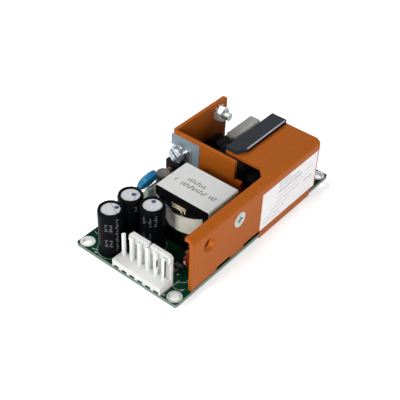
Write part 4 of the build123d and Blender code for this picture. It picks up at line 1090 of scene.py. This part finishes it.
# Wires, by the points they pass
LEAD_OUTS = (
    ((-0.9, -23.1, 18.2), (2.6, -23.0, 18.25), (5.6, -22.95, 18.2), (6.6, -23.3, 18.0)),
    ((0.4, -23.9, 18.2), (3.6, -23.75, 18.25), (6.2, -23.8, 18.2), (7.2, -24.6, 17.9), (7.4, -25.6, 17.2)),
    ((1.0, -24.5, 18.2), (3.8, -24.4, 18.25), (5.6, -24.6, 18.15), (6.6, -25.6, 17.6), (6.8, -26.1, 16.6)),
)
LEAD_OUT_RADIUS = 0.19
# Painted highlight along the tape's front edge at the core's corner and along the flange's rim, drawn as a
# grey wire
RIM_HIGHLIGHT_PATH = (
    (-9.35, -22.9, 22.0), (-9.4, -22.95, 20.0), (-9.3, -23.0, 18.6), (-8.2, -23.4, 18.1),
    (-5.4, -24.4, 18.1), (-2.4, -25.4, 18.1), (0.4, -26.0, 18.0), (1.8, -26.15, 17.4),
)
RIM_HIGHLIGHT_RADIUS = 0.3


def transformer_wires():
    """Lead-outs over the upper flange, and a painted highlight drawn as a grey wire down the core's corner
    and round the flange's rim.
    """
    tube("transformer_lead_outs", LEAD_OUTS, LEAD_OUT_RADIUS, "gold_wire")
    tube("transformer_rim_highlight", [RIM_HIGHLIGHT_PATH], RIM_HIGHLIGHT_RADIUS, "painted_rim_highlight")


# Label: rows of dashes, from and to along the board, height above it, dash height, pitch and ink
LABEL_ROWS = (
    (11.6, 19.2, 20.1, 0.55, 1.1, "grey_print"),
    (11.6, 26.2, 18.4, 0.50, 0.8, "grey_print"),
    (11.0, 28.0, 15.6, 1.60, 0.7, "pale_print"),
    (30.2, 36.0, 15.8, 0.60, 0.9, "pale_print"),
    (10.6, 33.0, 13.4, 0.50, 0.8, "pale_print"),
    (30.0, 35.8, 10.8, 0.55, 0.7, "grey_print"),
    (10.4, 27.0, 11.2, 0.60, 1.3, "pale_print"),
    (7.0, 20.0, 9.2, 0.50, 0.9, "pale_print"),
    (2.4, 17.0, 7.0, 0.50, 0.9, "pale_print"),
    (2.4, 14.0, 5.0, 0.60, 0.8, "pale_print"),
)
# A dash's share of its pitch, how much that varies, and the phase from dash to dash
LABEL_DASH = 0.55
LABEL_SWING = 0.35
LABEL_PHASE = 2.3


def label_print():
    """Rows of plain dashes on the label."""
    origin = Vector((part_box("blank_label")[1].x + SKIN, 0, 0))
    inks = {"grey_print": [], "pale_print": []}
    for y0, y1, z, height, pitch, ink in LABEL_ROWS:
        y = y0
        n = 0
        while y < y1:
            width = pitch * (LABEL_DASH + LABEL_SWING * abs(math.sin(LABEL_PHASE * n + z)))
            inks[ink].append(flat_patch(origin, ALONG, UP, y, min(y + width, y1), z, z + height))
            y += pitch
            n += 1
    for ink, quads in inks.items():
        quads_piece("label_" + ink, quads, ink)


# Strip: a painted highlight along its upper outer edge and painted shade on its side, and where both stop
# short of its ends
STRIP_FRONT = 4.3 * MM
STRIP_REAR = 0.9 * MM
STRIP_CUT = 0.42 * MM


# Painted highlight along the strip's outer top edge, and painted shade on its side in the ferrite finish's
# black
def strip_painted_light():
    low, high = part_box("heatsink_edge_strip")
    y0 = low.y + STRIP_FRONT
    y1 = high.y - STRIP_REAR
    line = [
        Vector((high.x - STRIP_CUT + SKIN, y0, high.z + SKIN)),
        Vector((high.x + SKIN, y0, high.z - STRIP_CUT + SKIN)),
        Vector((high.x + SKIN, y1, high.z - STRIP_CUT + SKIN)),
        Vector((high.x - STRIP_CUT + SKIN, y1, high.z + SKIN)),
    ]
    quads_piece("strip_painted_highlight", [line], "strip_edge")
    side = [
        Vector((high.x + SKIN, y0, low.z + SKIN)),
        Vector((high.x + SKIN, y1, low.z + SKIN)),
        Vector((high.x + SKIN, y1, high.z - STRIP_CUT)),
        Vector((high.x + SKIN, y0, high.z - STRIP_CUT)),
    ]
    quads_piece("strip_painted_shade", [side], "ferrite")


# Fixing screw: the length of thread that carries painted shade, and the angles of the painted shades round
# it in degrees. Its points are those within reach of its middle, and the ones at its tip give its radius
STUD_LENGTH = 2.2 * MM
STUD_REACH = 2.2 * MM
STUD_TIP = 0.1 * MM
STUD_SHADES = ((158, 186), (78, 100))


def stud_shade():
    """Painted shade in two dark strips along the end of the fixing screw that stands out of its nut."""
    centre = middle("star_washer")
    source = frame["nodes"]["countersunk_screws"].data
    stud = [v.co for v in source.vertices if abs(v.co.y - centre.y) < STUD_REACH and v.co.x < 0]
    end = max(v.x for v in stud)
    radius = max(abs(v.y - centre.y) for v in stud if v.x > end - STUD_TIP) + SKIN
    start = end - STUD_LENGTH
    quads = []
    for angles in STUD_SHADES:
        edges = []
        for angle in angles:
            turn = math.radians(angle)
            edges.append((centre.y + radius * math.cos(turn), centre.z + radius * math.sin(turn)))
        a, b = edges
        quads.append([Vector((start, *a)), Vector((end, *a)), Vector((end, *b)), Vector((start, *b))])
    quads_piece("stud_shade", quads, "painted_dark_shade")


# Small parts that show only as slivers, in millimetres
RESISTOR_X = -20.7
RESISTOR_Y = -1.62
# The dipped body's side: height and radius
RESISTOR_PROFILE = (
    (6.8, 0.3), (7.0, 0.62), (7.5, 0.86), (8.4, 0.86), (9.2, 0.78), (10.0, 0.86), (11.0, 0.86), (11.5, 0.6),
    (11.7, 0.3),
)
# Its two leads: steps to the right of the body's middle, and height
RESISTOR_LEADS = (
    ((0, 7.2), (0, 4.0), (0, 1.5)),
    ((0, 11.5), (0, 11.9), (0.4, 12.2), (1.4, 12.2), (1.8, 11.8), (1.8, 1.5)),
)
RESISTOR_LEAD_RADIUS = 0.22
FILM_LOW = (-19.9, -17.2, 2.0)
FILM_HIGH = (-17.9, -9.2, 10.4)
FILM_ROUNDING = 0.3
FILM_SHARP_ANGLE = 40
# Its leads: half the distance between them, their radius, and how far they reach into the body and down
FILM_LEAD_SPREAD = 2.5
FILM_LEAD_RADIUS = 0.25
FILM_LEAD_ROOT = 0.5
FILM_LEAD_KNEE = 0.2
FILM_LEAD_END = -1.2


def small_resistor():
    """The brown dipped resistor that stands behind the auxiliary capacitor."""
    x, y = RESISTOR_X, RESISTOR_Y
    bm = bmesh.new()
    rings = []
    for z, radius in RESISTOR_PROFILE:
        rings.append(circle(bm, x * MM, y * MM, z * MM, radius * MM, radius * MM, SMALL_SIDES))
    close_rings(bm, rings)
    mesh_piece("small_resistor", bm, "brown_bit")
    leads = [[(x + step, y, z) for step, z in lead] for lead in RESISTOR_LEADS]
    tube("small_resistor_leads", leads, RESISTOR_LEAD_RADIUS, "brown_bit")


def film_capacitor():
    """The small pale box that shows between the disc capacitor and the transformer, with its two leads."""
    centre = [(a + b) / 2 for a, b in zip(FILM_LOW, FILM_HIGH)]
    size = [b - a for a, b in zip(FILM_LOW, FILM_HIGH)]
    bm = bmesh.new()
    bmesh.ops.create_cube(bm, size=1)
    for vertex in bm.verts:
        vertex.co = Vector([c + v * s for c, v, s in zip(centre, vertex.co, size)]) * MM
    bmesh.ops.bevel(bm, geom=bm.edges[:], offset=FILM_ROUNDING * MM, segments=3, affect="EDGES", profile=0.5)
    smooth_by_angle(bm, FILM_SHARP_ANGLE)
    mesh_piece("film_capacitor", bm, "pale_case")
    x = centre[0]
    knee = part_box("circuit_board")[1].z / MM + FILM_LEAD_KNEE
    heights = (FILM_LOW[2] + FILM_LEAD_ROOT, knee, FILM_LEAD_END)
    leads = []
    for side in (-1, 1):
        y = centre[1] + side * FILM_LEAD_SPREAD
        leads.append([(x, y, z) for z in heights])
    tube("film_capacitor_leads", leads, FILM_LEAD_RADIUS, "tinned")


# Grey box: one row of marks, from and to along the board, and their height, pitch and fill
BOX_ROW = (38.5, 47.5)
BOX_MARK_DROP = 0.7
BOX_MARK = (1.4, 1.3, 0.6)


def filter_cap_marks():
    """Faint marks along the grey box."""
    low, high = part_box("filter_capacitor")
    origin = Vector((0, 0, high.z + SKIN))
    base = -(low.x + high.x) / 2 / MM - BOX_MARK_DROP
    quads = row_of_marks(origin, ALONG, -RIGHT, *BOX_ROW, base, *BOX_MARK)
    quads_piece("filter_cap_marks", quads, "box_ink")


make_camera()
make_world()
make_floor()
for lamp in LAMPS:
    area_lamp(*lamp)
bpy.context.scene.view_settings.view_transform = "Standard"
make_materials()
dress_nodes()
for node_name, (finish_name, edge_width) in ROUNDED.items():
    softened(node_name, finish_name, edge_width)
mounting_rings()
board_print()
component_pads()
header_painted_shade()
solder_joints()
for number in (1, 2, 3):
    sleeve_print(number)
    top_marks(number)
tape_side()
tape_print()
label_print()
strip_painted_light()
sleeve_rims()
transformer_wires()
film_capacitor()
small_resistor()
stud_shade()
filter_cap_marks()
